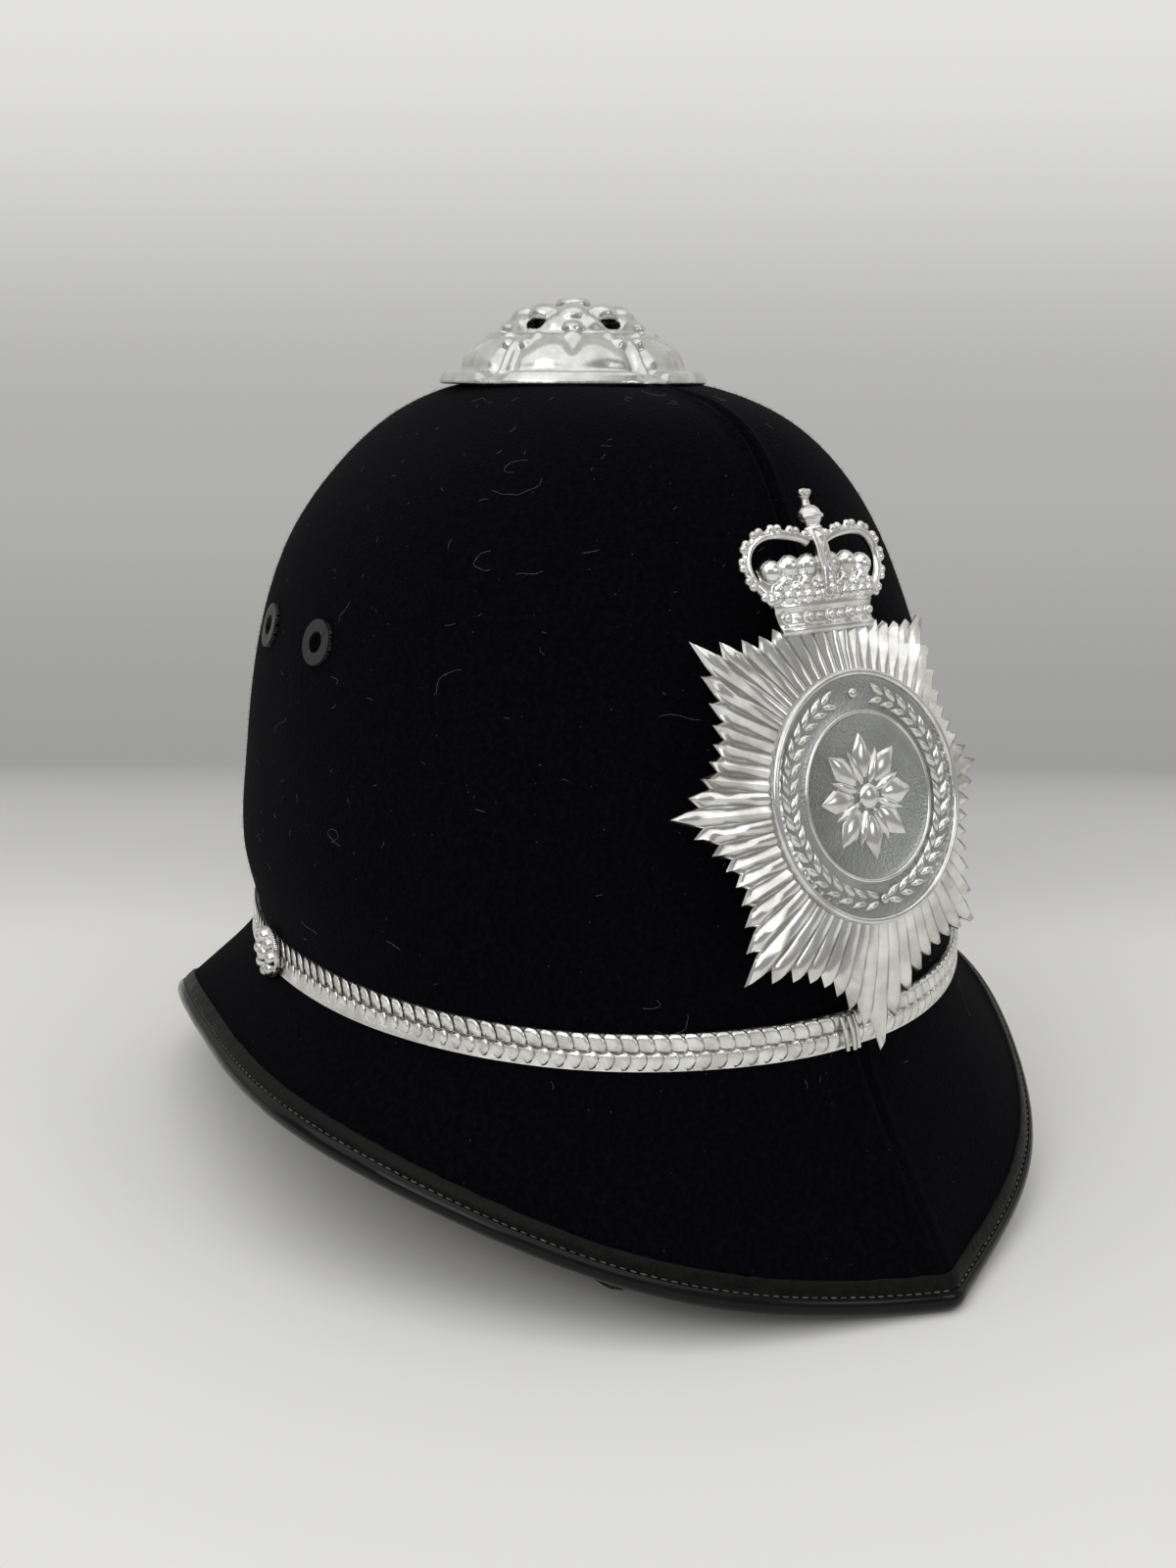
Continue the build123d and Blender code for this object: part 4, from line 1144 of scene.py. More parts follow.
@dataclass
class ScaleBand:
    """Bright band of two rows of small overlapping scales, in millimetres."""

    low: float = 55.3
    high: float = 64.5
    bridge: float = 3.0
    strip_steps: int = 180
    strip_section: tuple[Pair, ...] = ((0.25, 1.9), (0.25, 1.15), (4.6, 0.8), (8.95, 1.15), (8.95, 1.9))
    pitch: float = 3.75
    base_sink: float = 1.15
    scale_length: float = 4.9
    scale_height: float = 5.0
    scale_wall: float = 0.22
    scale_across: tuple[float, ...] = (-1.0, -0.55, 0.0, 0.55, 1.0)
    scale_along: tuple[float, ...] = (-1.0, -0.5, 0.0, 0.6, 1.0)
    rounding: float = 0.86
    row_offset: float = 2.15
    lean: float = 0.55
    lift: float = 0.85
    nose_drop: float = 0.28
    crown: float = 0.5
    lips: tuple[Pair, ...] = ((-6.9, 0.5), (-5.1, 0.9), (-3.4, 0.6))
    lip_radius: float = 0.62
    lip_steps: int = 8
    lip_margin: float = 0.5
    lip_slant: float = 1.1
    lip_bow: float = 0.7

    def on_band(self, surface: Surface, azimuth: float, height: float) -> Vector:
        """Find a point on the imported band, carried across its holes from both sides of them.

        Args:
            surface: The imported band.
            azimuth: Direction in degrees.
            height: Height in metres.

        Returns:
            The point.
        """
        found = surface.level(azimuth, height)
        if found is not None and (found - Vector((0, ROSE_AXIS_Y, height))).dot(direction(azimuth)) > 0:
            return found
        beside = [surface.level(azimuth + side * self.bridge, height) for side in (-1, 1)]
        return (beside[0] + beside[1]) / 2

    def base(self, surface: Surface) -> bpy.types.Object:
        """Model the strip under the scales.

        Args:
            surface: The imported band.

        Returns:
            The closed strip.
        """
        points: list[Vector] = []
        for step in range(self.strip_steps):
            azimuth = 360 * step / self.strip_steps
            outwards = direction(azimuth)
            for rise, sink in self.strip_section:
                height = (self.low + rise) * MILLIMETRE
                points.append(self.on_band(surface, azimuth, height) - outwards * sink * MILLIMETRE)
        columns = len(self.strip_section)
        faces = grid_faces(self.strip_steps, columns, closed=False)
        last = (self.strip_steps - 1) * columns
        for column in range(columns - 1):
            faces.append((last + column, last + column + 1, column + 1, column))
        return smooth(mesh_object("band_strip", points, faces), sharp=35.0)

    def scale(self, row: int) -> list[Triple]:
        """Shape one scale.

        Args:
            row: 1 for the upper row, -1 for the lower.

        Returns:
            A grid of places along the band, up it and off it, in millimetres.
        """
        places = []
        for across in self.scale_across:
            up = across * self.scale_height / 2
            narrow = math.sqrt(max(1 - (self.rounding * across) ** 2, 0.05))
            for along in self.scale_along:
                run = along * narrow * self.scale_length / 2 - row * across * self.lean
                off = self.lift * ((along + 1) / 2) ** 1.3 + self.crown * (1 - across**2)
                if along == self.scale_along[-1]:
                    off -= self.nose_drop
                places.append((run, row * self.row_offset + up, off - self.base_sink))
        return places

    def scales(self, surface: Surface) -> bpy.types.Object:
        """Lay both rows of scales round the band.

        Args:
            surface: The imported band.

        Returns:
            One piece with all the scales.
        """
        middle = (self.low + self.high) / 2 * MILLIMETRE
        ring = [self.on_band(surface, -180 + step, middle) for step in range(361)]
        length = sum((after - before).length for before, after in zip(ring, ring[1:]))
        line = spaced(ring, int(length / (self.pitch * MILLIMETRE)))
        shapes = ((self.scale(1), 0.0), (self.scale(-1), self.pitch / 2))
        faces = grid_faces(len(self.scale_across), len(self.scale_along), closed=False)
        laid = Shapes()
        for index in range(len(line) - 1):
            before = line[index - 1] if index > 0 else line[-2]
            along = (line[index + 1] - before).normalized()
            out = along.cross(UP).normalized()
            if out.dot(line[index] - Vector((0, ROSE_AXIS_Y, middle))) < 0:
                out = -out
            for shape, shift in shapes:
                spots = [along * (run + shift) + UP * rise + out * off for run, rise, off in shape]
                laid.add([line[index] + spot * MILLIMETRE for spot in spots], faces)
        piece = laid.piece("band_scales")
        thicken(piece, self.scale_wall)
        return piece

    def clip(self, surface: Surface) -> bpy.types.Object:
        """Model the band's turned ends beside the plate's lowest ray, as bowed lips with gaps between.

        Args:
            surface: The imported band.

        Returns:
            One piece with all the lips.
        """
        pieces = []
        for aside, off in self.lips:
            path = []
            for step in range(self.lip_steps + 1):
                share = step / self.lip_steps
                height = between(self.low + self.lip_margin, self.high - self.lip_margin, share)
                slant = self.lip_slant * (0.5 - share)
                found = surface.cast(mm(aside + slant, FAR_AHEAD, height), BACKWARDS)
                path.append(found - mm(0, off + self.lip_bow * math.sin(math.pi * share), 0))
            pieces.append(bar("lip", path, self.lip_radius))
        return join_pieces("band_clip_worked", pieces)

    def build(self) -> None:
        """Model the band and its clip."""
        bright = PITTED.material()
        surface = Surface("helmet_band")
        place(self.base(surface), Body.HELMET, Slot.BRIGHT, bright, "helmet_band")
        place(self.scales(surface), Body.HELMET, Slot.BRIGHT, bright)
        place(self.clip(surface), Body.HELMET, Slot.BRIGHT, BRIGHT.material(), "band_clip")


@dataclass
class PlateFace:
    """Bent surface of the plate: its upright line on the crown, turned about an axis behind it.

    All in millimetres.
    """

    middle: float
    bend: float = 125.0
    low: float = 46.0
    high: float = 186.0
    read_from: float = 60.0
    read_to: float = 168.0
    step: float = 2.0
    line: list[float] = field(default_factory=list)

    def __post_init__(self) -> None:
        """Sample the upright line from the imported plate."""
        surface = Surface("star_plate")
        known: list[Pair] = []
        for index in range(int((self.read_to - self.read_from) / self.step)):
            height = self.read_from + index * self.step
            found = surface.cast(mm(0.01, FAR_AHEAD, height), BACKWARDS)
            if found is not None:
                known.append((height, found.y / MILLIMETRE))
        count = int((self.high - self.low) / self.step) + 1
        for index in range(count):
            self.line.append(self.read(known, self.low + index * self.step))

    def read(self, known: list[Pair], height: float) -> float:
        """Read the line at a height, carried on with the end's slope outside what is known.

        Args:
            known: Heights and depths that were sampled.
            height: The height wanted.

        Returns:
            The line's y at that height.
        """
        if height <= known[0][0]:
            first, second = known[0], known[4]
        elif height >= known[-1][0]:
            first, second = known[-5], known[-1]
        else:
            first = max(pair for pair in known if pair[0] <= height)
            second = min(pair for pair in known if pair[0] > height)
        return between(first[1], second[1], (height - first[0]) / (second[0] - first[0]))

    def depth(self, height: float) -> float:
        """Return the line's y at a height."""
        index, share = leg_of((height - self.low) / self.step, len(self.line))
        return between(self.line[index], self.line[index + 1], share)

    def point(self, aside: float, height: float, off: float = 0.0) -> Vector:
        """Find a point on the plate, or off it.

        Args:
            aside: x in millimetres.
            height: z in millimetres.
            off: Distance in front of the plate in millimetres.

        Returns:
            The point in metres.
        """
        heart = self.depth(self.middle) + self.bend
        radius = heart - self.depth(height)
        y = heart - math.sqrt(max(radius**2 - aside**2, 1.0))
        rise = (self.depth(height + self.step) - self.depth(height - self.step)) / (2 * self.step)
        normal = Vector((aside / radius, -1.0, rise)).normalized()
        return (Vector((aside, y, height)) + normal * off) * MILLIMETRE


@dataclass(frozen=True)
class Leaf:
    """Sizes of a pointed leaf in millimetres."""

    length: float
    width: float
    height: float


LAUREL = Leaf(5.0, 2.0, 0.75)
PETAL = Leaf(10.6, 6.4, 1.0)
SEPAL = Leaf(9.0, 2.6, 1.25)


@dataclass(frozen=True)
class Bead:
    """A bead in front of the plate: x, z, distance off and radius in millimetres."""

    aside: float
    height: float
    off: float
    radius: float
    tall: float = 1.0


@dataclass(frozen=True)
class BowedSheet:
    """A sheet of the crown, bowed at its sides and wider above its foot, in millimetres.

    Its section is a row of rises over the foot and distances off the plate.
    """

    name: str
    foot: float
    section: tuple[Pair, ...]
    columns: int
    half: float
    flare: float
    flare_height: float
    rounding: float
    sharp: float
    scallop: float = 0.0
    droop: float = 0.0


CIRCLET = BowedSheet(
    "circlet", foot=152.5, columns=25, half=14.2, flare=1.5, flare_height=7.5, rounding=0.55, sharp=50.0,
    section=(
        (0.0, 0.2), (0.0, 2.4), (0.6, 3.0), (1.4, 3.1), (1.9, 2.5), (2.5, 2.2),
        (4.9, 2.3), (5.4, 2.7), (6.0, 3.1), (6.9, 3.1), (7.5, 2.5), (7.5, 0.2),
    ),
)
CAP = BowedSheet(
    "cap", foot=159.0, columns=41, half=14.8, flare=2.6, flare_height=7.0, rounding=0.6, sharp=55.0,
    scallop=0.9, droop=2.2,
    section=((0.0, 0.2), (0.0, 2.0), (4.2, 2.7), (7.6, 2.6), (9.8, 1.9), (10.4, 0.4)),
)


@dataclass
class Badge:
    """Rayed star plate with its medallion and the arched crown above it.

    Lengths are in millimetres.
    """

    middle: float = 116.0
    points: int = 8
    rays_per_point: int = 8
    reaches: tuple[float, ...] = (54.0, 52.0, 49.5, 53.0, 60.0)
    ray_shares: tuple[float, ...] = (1.0, 0.90, 0.835, 0.795, 0.78)
    row_shares: tuple[float, ...] = (0.0, 0.3, 0.6, 0.82, 0.93, 1.0)
    blade: tuple[Pair, ...] = (
        (-0.5, 0.0), (-0.42, 0.2), (-0.27, 0.72), (0.0, 1.0), (0.27, 0.72), (0.42, 0.2),
    )
    star_wall: float = 0.75
    star_sink: float = 0.5
    notch_share: float = 0.925
    notch_power: float = 0.85
    ridge: float = 1.75
    tip_fade: float = 0.15
    root: float = 26.0
    root_rise: float = 1.5
    root_share: float = 0.8
    medallion_radius: float = 29.7
    rim: float = 1.5
    rim_thickness: float = 0.85
    field_radius: float = 19.7
    field_rim_thickness: float = 0.5
    field_level: float = -0.85
    lean: float = 16.3
    rise: float = 2.6
    leaf_pairs: int = 17
    leaf_splay: float = 24.0
    leaf_runs: tuple[float, ...] = (-1.0, -0.7, -0.3, 0.15, 0.6, 1.0)
    leaf_sides: tuple[Pair, ...] = ((-1.0, 0.0), (-0.6, 0.75), (0.0, 1.0), (0.6, 0.75), (1.0, 0.0))
    petals: int = 8
    petal_ring: float = 9.6
    sepal_ring: float = 7.4
    cast_voxel: float = 0.24
    sheet: float = 1.3
    arch_middle: Pair = (11.0, 166.8)
    arch_top: float = 174.4
    arch_turns: Pair = (-62.0, 164.0)
    arch_steps: int = 24

    def __post_init__(self) -> None:
        """Read the plate's surface."""
        self.face = PlateFace(self.middle)

    def reach(self, index: int) -> float:
        """Find how far a ray's tip is from the middle.

        Args:
            index: The ray, counted from the top.

        Returns:
            The reach in millimetres.
        """
        count = self.points * self.rays_per_point
        turn = (index % count) * 360 / count
        eighths = min(turn, 360 - turn) * self.points / 360
        lower = min(int(eighths), len(self.reaches) - 2)
        full = between(self.reaches[lower], self.reaches[lower + 1], eighths - lower)
        beside = index % self.rays_per_point
        return full * self.ray_shares[min(beside, self.rays_per_point - beside)]

    def ray_row(self, share: float) -> list[Vector]:
        """Place one row of points round all the rays.

        Args:
            share: The row's share of the way from the root to the tips.

        Returns:
            The points, as many for each ray as its blade has.
        """
        count = self.points * self.rays_per_point
        fade = 1.0 if share < 1 else self.tip_fade
        grow = 0.45 + 0.55 * min(share / 0.5, 1.0)
        foot = max(1 - share / self.root_share, 0.0) ** 1.3
        row = []
        for index in range(count):
            tip = self.reach(index)
            for offset, height in self.blade:
                notch = min(tip, self.reach(index - 1 if offset < 0 else index + 1)) * self.notch_share
                end = between(tip, notch, min(abs(offset) / 0.5, 1.0) ** self.notch_power)
                radius = between(self.root, end, share)
                turn = math.radians((index + offset) * 360 / count)
                aside = radius * math.sin(turn)
                bowed = min(abs(aside), self.medallion_radius) ** 2 / (2 * self.face.bend)
                off = self.ridge * height * fade * grow + (self.root_rise + bowed) * foot - self.star_sink
                row.append(self.face.point(aside, self.middle + radius * math.cos(turn), off))
        return row

    def star(self) -> bpy.types.Object:
        """Model the rays, each a hollow-ground blade with a ridge and a pointed end.

        Returns:
            The plate with its thickness.
        """
        points = [point for share in self.row_shares for point in self.ray_row(share)]
        per_row = self.points * self.rays_per_point * len(self.blade)
        quads = grid_faces(len(self.row_shares), per_row, closed=True)
        faces = [(low, high, high_beside, low_beside) for low, low_beside, high_beside, high in quads]
        piece = mesh_object("star_rays", points, faces)
        thicken(piece, self.star_wall)
        return smooth(piece, sharp=48.0)

    def medallion_frame(self) -> Matrix:
        """Find the medallion's place.

        Returns:
            Its frame: x to the wearer's left, y up its face and z out of it.
        """
        lean = math.radians(self.lean)
        out = Vector((0, -math.cos(lean), math.sin(lean)))
        up = Vector((0, math.sin(lean), math.cos(lean)))
        placed = Matrix((Vector((1, 0, 0)), up, out)).transposed().to_4x4()
        placed.translation = self.face.point(0, self.middle) + out * self.rise * MILLIMETRE
        return placed

    def disc(self) -> bpy.types.Object:
        """Turn the medallion's section about its axis.

        Returns:
            The disc with its two raised rims.
        """
        out, inner, rim = self.medallion_radius, self.field_radius, self.rim
        section = (
            (out, -6.5), (out, -0.45), (out - 0.35, -0.05), (out - rim / 2, 0.12), (out - rim + 0.25, -0.05),
            (out - rim, -0.5), (out - rim - 0.5, -0.85), (inner + 1.3, -0.85), (inner + 0.9, -0.5),
            (inner + 0.45, -0.1), (inner, 0.0), (inner - 0.45, -0.1), (inner - 0.9, -0.5),
            (inner - 1.3, -0.85), (7.0, -0.8), (0.0, -0.78),
        )
        mesh = bpy.data.meshes.new("badge_medallion_worked")
        edges = [(index, index + 1) for index in range(len(section) - 1)]
        mesh.from_pydata([tuple(mm(radius, 0, height)) for radius, height in section], edges, [])
        piece = stand("badge_medallion_worked", mesh)
        bpy.ops.object.mode_set(mode="EDIT")
        bpy.ops.mesh.select_all(action="SELECT")
        bpy.ops.mesh.spin(steps=128, angle=2 * math.pi, center=(0, 0, 0), axis=(0, 0, 1))
        bpy.ops.object.mode_set(mode="OBJECT")
        smooth(mend(piece), sharp=50.0)
        piece.data.transform(self.medallion_frame())
        return piece

    def leaf(self, radius: float, around: float, heading: float, leaf: Leaf) -> list[Vector]:
        """Model a pointed leaf on the medallion's face.

        Args:
            radius: Distance of its middle from the medallion's, in millimetres.
            around: Direction of its middle in degrees.
            heading: Direction of its point in degrees.
            leaf: Its sizes.

        Returns:
            A grid of points in the medallion's own frame.
        """
        spot, turn = math.radians(around), math.radians(heading)
        middle = Vector((radius * math.cos(spot), radius * math.sin(spot), self.field_level))
        along = Vector((math.cos(turn), math.sin(turn), 0))
        across = Vector((-math.sin(turn), math.cos(turn), 0))
        points = []
        for run in self.leaf_runs:
            wide = leaf.width / 2 * max(1 - abs(run + 0.1) ** 1.8, 0.03)
            for side, rise in self.leaf_sides:
                crest = UP * leaf.height * rise * max(1 - run**4, 0.0)
                spot = middle + crest + along * run * leaf.length / 2 + across * side * wide
                points.append(spot * MILLIMETRE)
        return points

    def ornament(self) -> bpy.types.Object:
        """Model the wreath between the rims and the rosette in the middle.

        Returns:
            One piece with all leaves, berries, petals and rims.
        """
        ring = (self.medallion_radius - self.rim + self.field_radius) / 2 + 0.2
        shapes = []
        for side in (-1, 1):
            for index in range(self.leaf_pairs):
                around = -90 + side * (9 + (162 / self.leaf_pairs) * index)
                for splay in (-1, 1):
                    heading = around + side * 90 - side * splay * self.leaf_splay
                    shapes.append(self.leaf(ring + splay * 1.35, around, heading, LAUREL))
        for index in range(self.petals):
            around = 90 + 360 / self.petals * index
            beside = around + 180 / self.petals
            shapes.append(self.leaf(self.petal_ring, around, around, PETAL))
            shapes.append(self.leaf(self.sepal_ring, beside, beside, SEPAL))
        leaves = Shapes()
        for shape in shapes:
            leaves.add(shape, grid_faces(len(self.leaf_runs), len(self.leaf_sides), closed=False))
        parts = [leaves.piece("badge_ornament")]
        for radius, height, flat in ((3.1, 0.0, 0.5), (1.3, ring, 0.6), (1.3, -ring, 0.6)):
            parts.append(ball(radius, mm(0, height, -0.6), flat, 20, 10))
        outer = self.medallion_radius - self.rim / 2
        for around, thick in ((outer, self.rim_thickness), (self.field_radius, self.field_rim_thickness)):
            bpy.ops.object.select_all(action="DESELECT")
            bpy.ops.mesh.primitive_torus_add(
                major_segments=128, minor_segments=12, major_radius=around * MILLIMETRE,
                minor_radius=thick * MILLIMETRE, location=mm(0, 0, -0.3),
            )
            parts.append(settled())
        piece = join_pieces("badge_ornament", parts)
        piece.data.transform(self.medallion_frame())
        return piece

    def bead(self, bead: Bead) -> bpy.types.Object:
        """Model one bead in front of the plate."""
        return ball(bead.radius, self.face.point(bead.aside, bead.height, bead.off), bead.tall, 14, 8)

    def tube(self, path: Iterable[Triple], radius: float) -> bpy.types.Object:
        """Model a round bar along places given as x, z and distance off the plate."""
        return bar("arch", [self.face.point(*spot) for spot in path], radius)

    def bowed_sheet(self, form: BowedSheet) -> bpy.types.Object:
        """Model one of the crown's sheets.

        Args:
            form: Its sizes.

        Returns:
            The sheet with its thickness.
        """
        points = []
        for rise, off in form.section:
            flared = min(rise / form.flare_height, 1.0)
            half = form.half + form.flare * flared
            for column in range(form.columns):
                share = 2 * column / (form.columns - 1) - 1
                scallop = form.scallop * abs(math.sin(3 * math.pi * share)) * flared
                height = form.foot + rise + scallop - form.droop * share**4 * flared
                round_off = off * math.sqrt(max(1 - form.rounding * share**6, 0.1))
                points.append(self.face.point(half * share, height, round_off))
        made = mend(mesh_object(form.name, points, grid_faces(len(form.section), form.columns, closed=False)))
        thicken(made, self.sheet)
        return smooth(made, form.sharp)

    def jewels(self) -> list[bpy.types.Object]:
        """Model the jewels of the circlet, the crosses over it and the lobes of the cap.

        Returns:
            The beads.
        """
        beads = []
        for step in range(-4, 5):
            radius, tall = (0.85, 0.75) if step % 2 else (1.15, 1.0)
            beads.append(Bead(step * 3.2, 156.2, 2.4, radius, tall))
        for step in range(-5, 6):
            beads.append(Bead(step * 2.85, 160.6, 2.7, 1.1 if step % 2 else 1.35, 1.2))
        for aside in (-12.0, -6.0, 0.0, 6.0, 12.0):
            beads.append(Bead(aside, 163.4, 2.8, 1.5, 1.3))
            beads.append(Bead(aside - 1.5, 162.4, 2.6, 0.95))
            beads.append(Bead(aside + 1.5, 162.4, 2.6, 0.95))
            beads.append(Bead(aside, 165.4, 2.8, 1.0))
        for aside in (-14.2, -9.0, -3.6, 3.6, 9.0, 14.2):
            height = 166.5 if abs(aside) > 12 else 167.4
            beads.append(Bead(aside, height, 1.5, 3.0, 1.02))
            beads.append(Bead(aside + 0.6, 162.3, 2.2, 1.5, 1.2))
        return [self.bead(bead) for bead in beads]

    def arches(self) -> list[bpy.types.Object]:
        """Model the two side arches with the pearls along them.

        Returns:
            The bars and the beads.
        """
        parts = []
        middle, level = self.arch_middle
        for side in (-1, 1):
            path = []
            for step in range(self.arch_steps + 1):
                turn = math.radians(between(*self.arch_turns, step / self.arch_steps))
                aside = side * (middle + 9.3 * math.cos(turn) + 1.2 * math.sin(turn))
                dip = 7.6 if turn < math.pi / 2 else 2.8
                height = self.arch_top - dip * (1 - math.sin(turn))
                path.append((aside, height, 2.3 + 0.5 * math.sin(max(turn, 0.0))))
            parts.append(self.tube(path, 1.25))
            for index in range(1, self.arch_steps):
                if index % 3 == 0:
                    continue
                aside, height, off = path[index]
                away = Vector((aside - side * middle, height - level)).normalized() * 1.15
                parts.append(self.bead(Bead(aside + away.x, height + away.y, off + 0.45, 1.12)))
        return parts

    def finial(self) -> list[bpy.types.Object]:
        """Model the middle arch with its pearls, and the orb and cross over it.

        Returns:
            The bars and the beads.
        """
        bars = [
            ([(0, 160.0, 3.2), (0, 166.0, 4.0), (0, 171.0, 3.7), (0, 176.2, 2.8)], 1.75),
            ([(-2.5, 174.9, 2.6), (0, 174.9, 4.6), (2.5, 174.9, 2.6)], 0.75),
            ([(-2.8, 177.8, 3.4), (-1.3, 177.5, 5.3), (1.3, 177.5, 5.3), (2.8, 177.8, 3.4)], 0.5),
        ]
        for side in (-1.5, 1.5):
            rib = [(side, 160.5, 3.9), (side, 166.0, 4.8), (side, 171.0, 4.5), (side, 175.6, 3.6)]
            bars.append((rib, 0.45))
        beads = [Bead(0, 161.6 + 1.9 * step, 5.15 - 0.08 * step, 0.8) for step in range(8)]
        beads += [
            Bead(0, 178.0, 2.4, 3.1, 0.92), Bead(0, 180.9, 2.2, 1.1, 1.3), Bead(0, 183.0, 2.2, 1.6, 0.95),
            Bead(-1.1, 183.4, 2.8, 0.8), Bead(1.1, 183.4, 2.8, 0.8),
        ]
        return [self.tube(path, radius) for path, radius in bars] + [self.bead(bead) for bead in beads]

    def crown(self) -> bpy.types.Object:
        """Model the arched crown.

        Returns:
            One piece, melted together as a casting is.
        """
        parts = [self.bowed_sheet(CIRCLET), self.bowed_sheet(CAP)]
        parts += self.jewels() + self.arches() + self.finial()
        return cast_whole(join_pieces("crown_emblem_worked", parts), self.cast_voxel, 1)

    def build(self) -> None:
        """Model the badge."""
        bright = BRIGHT.material()
        place(self.star(), Body.HELMET, Slot.BRIGHT, bright, "star_plate")
        place(self.disc(), Body.HELMET, Slot.BRIGHT, STIPPLED.material(), "badge_medallion")
        place(self.ornament(), Body.HELMET, Slot.BRIGHT, bright)
        place(self.crown(), Body.HELMET, Slot.BRIGHT, bright, "crown_emblem")


@dataclass(frozen=True)
class Swell:
    """A swelling of the pressed rose, or a hollow where its height is below zero.

    Its place and width across are shares of half a petal, and its height, reach and width
    outwards are in millimetres.
    """

    height: float
    aside: float
    aside_width: float
    reach: float
    reach_width: float


@dataclass(frozen=True)
class Lobe:
    """A ball in the rose: its turn from a petal in degrees, and its sizes in millimetres."""

    offset: float
    ring: float
    rise: float
    radius: float
    tall: float = 1.0
    segments: int = 24
    rings: int = 12


@dataclass
class RoseVent:
    """Pressed rose over the vent: five outer petals, leaves between them, five inner petals and a button.

    Lengths are in millimetres.
    """

    level: float = 208.0
    facing: float = 36.0
    petals: int = 5
    half_petal: float = 36.0
    around: int = 320
    between_rows: int = 5
    wall: float = 1.15
    cast_voxel: float = 0.45
    cast_rounds: int = 7
    profile: tuple[Pair, ...] = (
        (36.7, 0.0), (36.5, 0.9), (33.5, 2.6), (30.5, 5.0), (27.5, 7.8), (24.6, 10.3), (22.0, 12.1),
        (19.6, 13.6), (17.5, 15.2), (15.6, 16.8), (14.0, 18.2), (12.6, 19.3), (9.0, 20.1), (5.2, 20.2),
        (3.2, 20.25),
    )
    edge_roll: float = 1.5
    edge_ridge: Pair = (34.4, 1.6)
    edge_furrow: Pair = (31.4, 1.1)
    edge_fade: float = 1.2
    leaf_height: float = 1.7
    leaf_reach: Pair = (26.5, 4.0)
    step_depth: float = 1.0
    step_reach: Pair = (19.6, 0.9)
    swells: tuple[Swell, ...] = (
        Swell(1.7, 0.36, 0.34, 26.8, 3.6), Swell(-1.3, 0.0, 0.10, 25.5, 2.6),
        Swell(1.6, 0.0, 0.14, 21.8, 1.6), Swell(-1.9, 0.88, 0.07, 30.0, 6.0),
        Swell(1.6, 0.66, 0.12, 22.4, 1.6), Swell(1.4, 0.45, 0.25, 17.0, 1.6),
    )
    swell_out: float = 0.45
    swell_up: float = 0.85
    vent_reaches: Pair = (14.6, 18.4)
    vent_middle: float = 16.4
    vent_half: float = 10.5
    vent_taper: float = 1.6
    lobes: tuple[Lobe, ...] = (
        Lobe(36, 12.6, 18.0, 4.3, 0.66), Lobe(30, 14.0, 17.6, 2.6, 0.8), Lobe(42, 14.0, 17.6, 2.6, 0.8),
        Lobe(0, 12.6, 17.2, 4.6, 0.72), Lobe(-15, 15.6, 15.6, 2.5, 0.9), Lobe(15, 15.6, 15.6, 2.5, 0.9),
        Lobe(0, 17.6, 14.4, 2.9, 0.62), Lobe(0, 8.4, 19.2, 3.4, 0.6),
        Lobe(-29, 24.8, 10.0, 1.9, segments=18, rings=10), Lobe(29, 24.8, 10.0, 1.9, segments=18, rings=10),
    )

    def petal_turn(self, step: int) -> float:
        """Return the degrees from the nearest outer petal's middle to a step round the rose."""
        half = self.half_petal
        return (360 * step / self.around - self.facing + half) % (2 * half) - half

    def relief(self, turn: float, radius: float) -> float:
        """Find the height of the petals over the plain dome.

        Args:
            turn: Degrees from the middle of the nearest outer petal.
            radius: Distance from the axis in millimetres.

        Returns:
            Height in millimetres.
        """
        aside = abs(turn) / self.half_petal
        inside = 1 - bump(aside, 1.0, 0.13)
        leaf_width = 0.09 + 0.01 * max(32 - radius, 0)
        height = self.edge_roll * inside * (bump(radius, *self.edge_ridge) - bump(radius, *self.edge_furrow))
        height += self.leaf_height * bump(aside, 1.0, leaf_width) * bump(radius, *self.leaf_reach)
        height -= self.step_depth * bump(radius, *self.step_reach)
        for swell in self.swells:
            across = bump(aside, swell.aside, swell.aside_width)
            height += swell.height * across * bump(radius, swell.reach, swell.reach_width)
        return height * min(max((self.profile[0][0] - radius) / self.edge_fade, 0.0), 1.0)

    def is_vent(self, turn: float, radius: float) -> bool:
        """Say whether a place lies in an opening of the dome.

        Args:
            turn: Degrees from the middle of the nearest outer petal.
            radius: Distance from the axis in millimetres.

        Returns:
            True in an opening.
        """
        near, far = self.vent_reaches
        half = self.vent_half - abs(radius - self.vent_middle) * self.vent_taper
        return near < radius < far and abs(abs(turn) - self.half_petal) < half

    def dome(self) -> bpy.types.Object:
        """Model the pressed dome, open at its vents.

        Returns:
            The dome with its thickness.
        """
        rings: list[Pair] = []
        for before, after in zip(self.profile, self.profile[1:]):
            for step in range(self.between_rows):
                share = step / self.between_rows
                rings.append((between(before[0], after[0], share), between(before[1], after[1], share)))
        rings.append(self.profile[-1])
        turns = [self.petal_turn(step) for step in range(self.around)]
        ways = [direction(360 * step / self.around) for step in range(self.around)]
        points = []
        for radius, rise in rings:
            for turn, way in zip(turns, ways):
                height = self.relief(turn, radius)
                reach = radius + self.swell_out * height
                points.append(off_axis(way, reach, self.level + rise + self.swell_up * height))
        faces = []
        for index, face in enumerate(grid_faces(len(rings), self.around, closed=True)):
            if not self.is_vent(turns[index % self.around], rings[index // self.around][0]):
                faces.append(face)
        piece = mesh_object("top_rose_worked", points, faces)
        apply_modifier(piece, "SMOOTH", factor=0.5, iterations=1)
        thicken(piece, self.wall)
        return mend(piece)

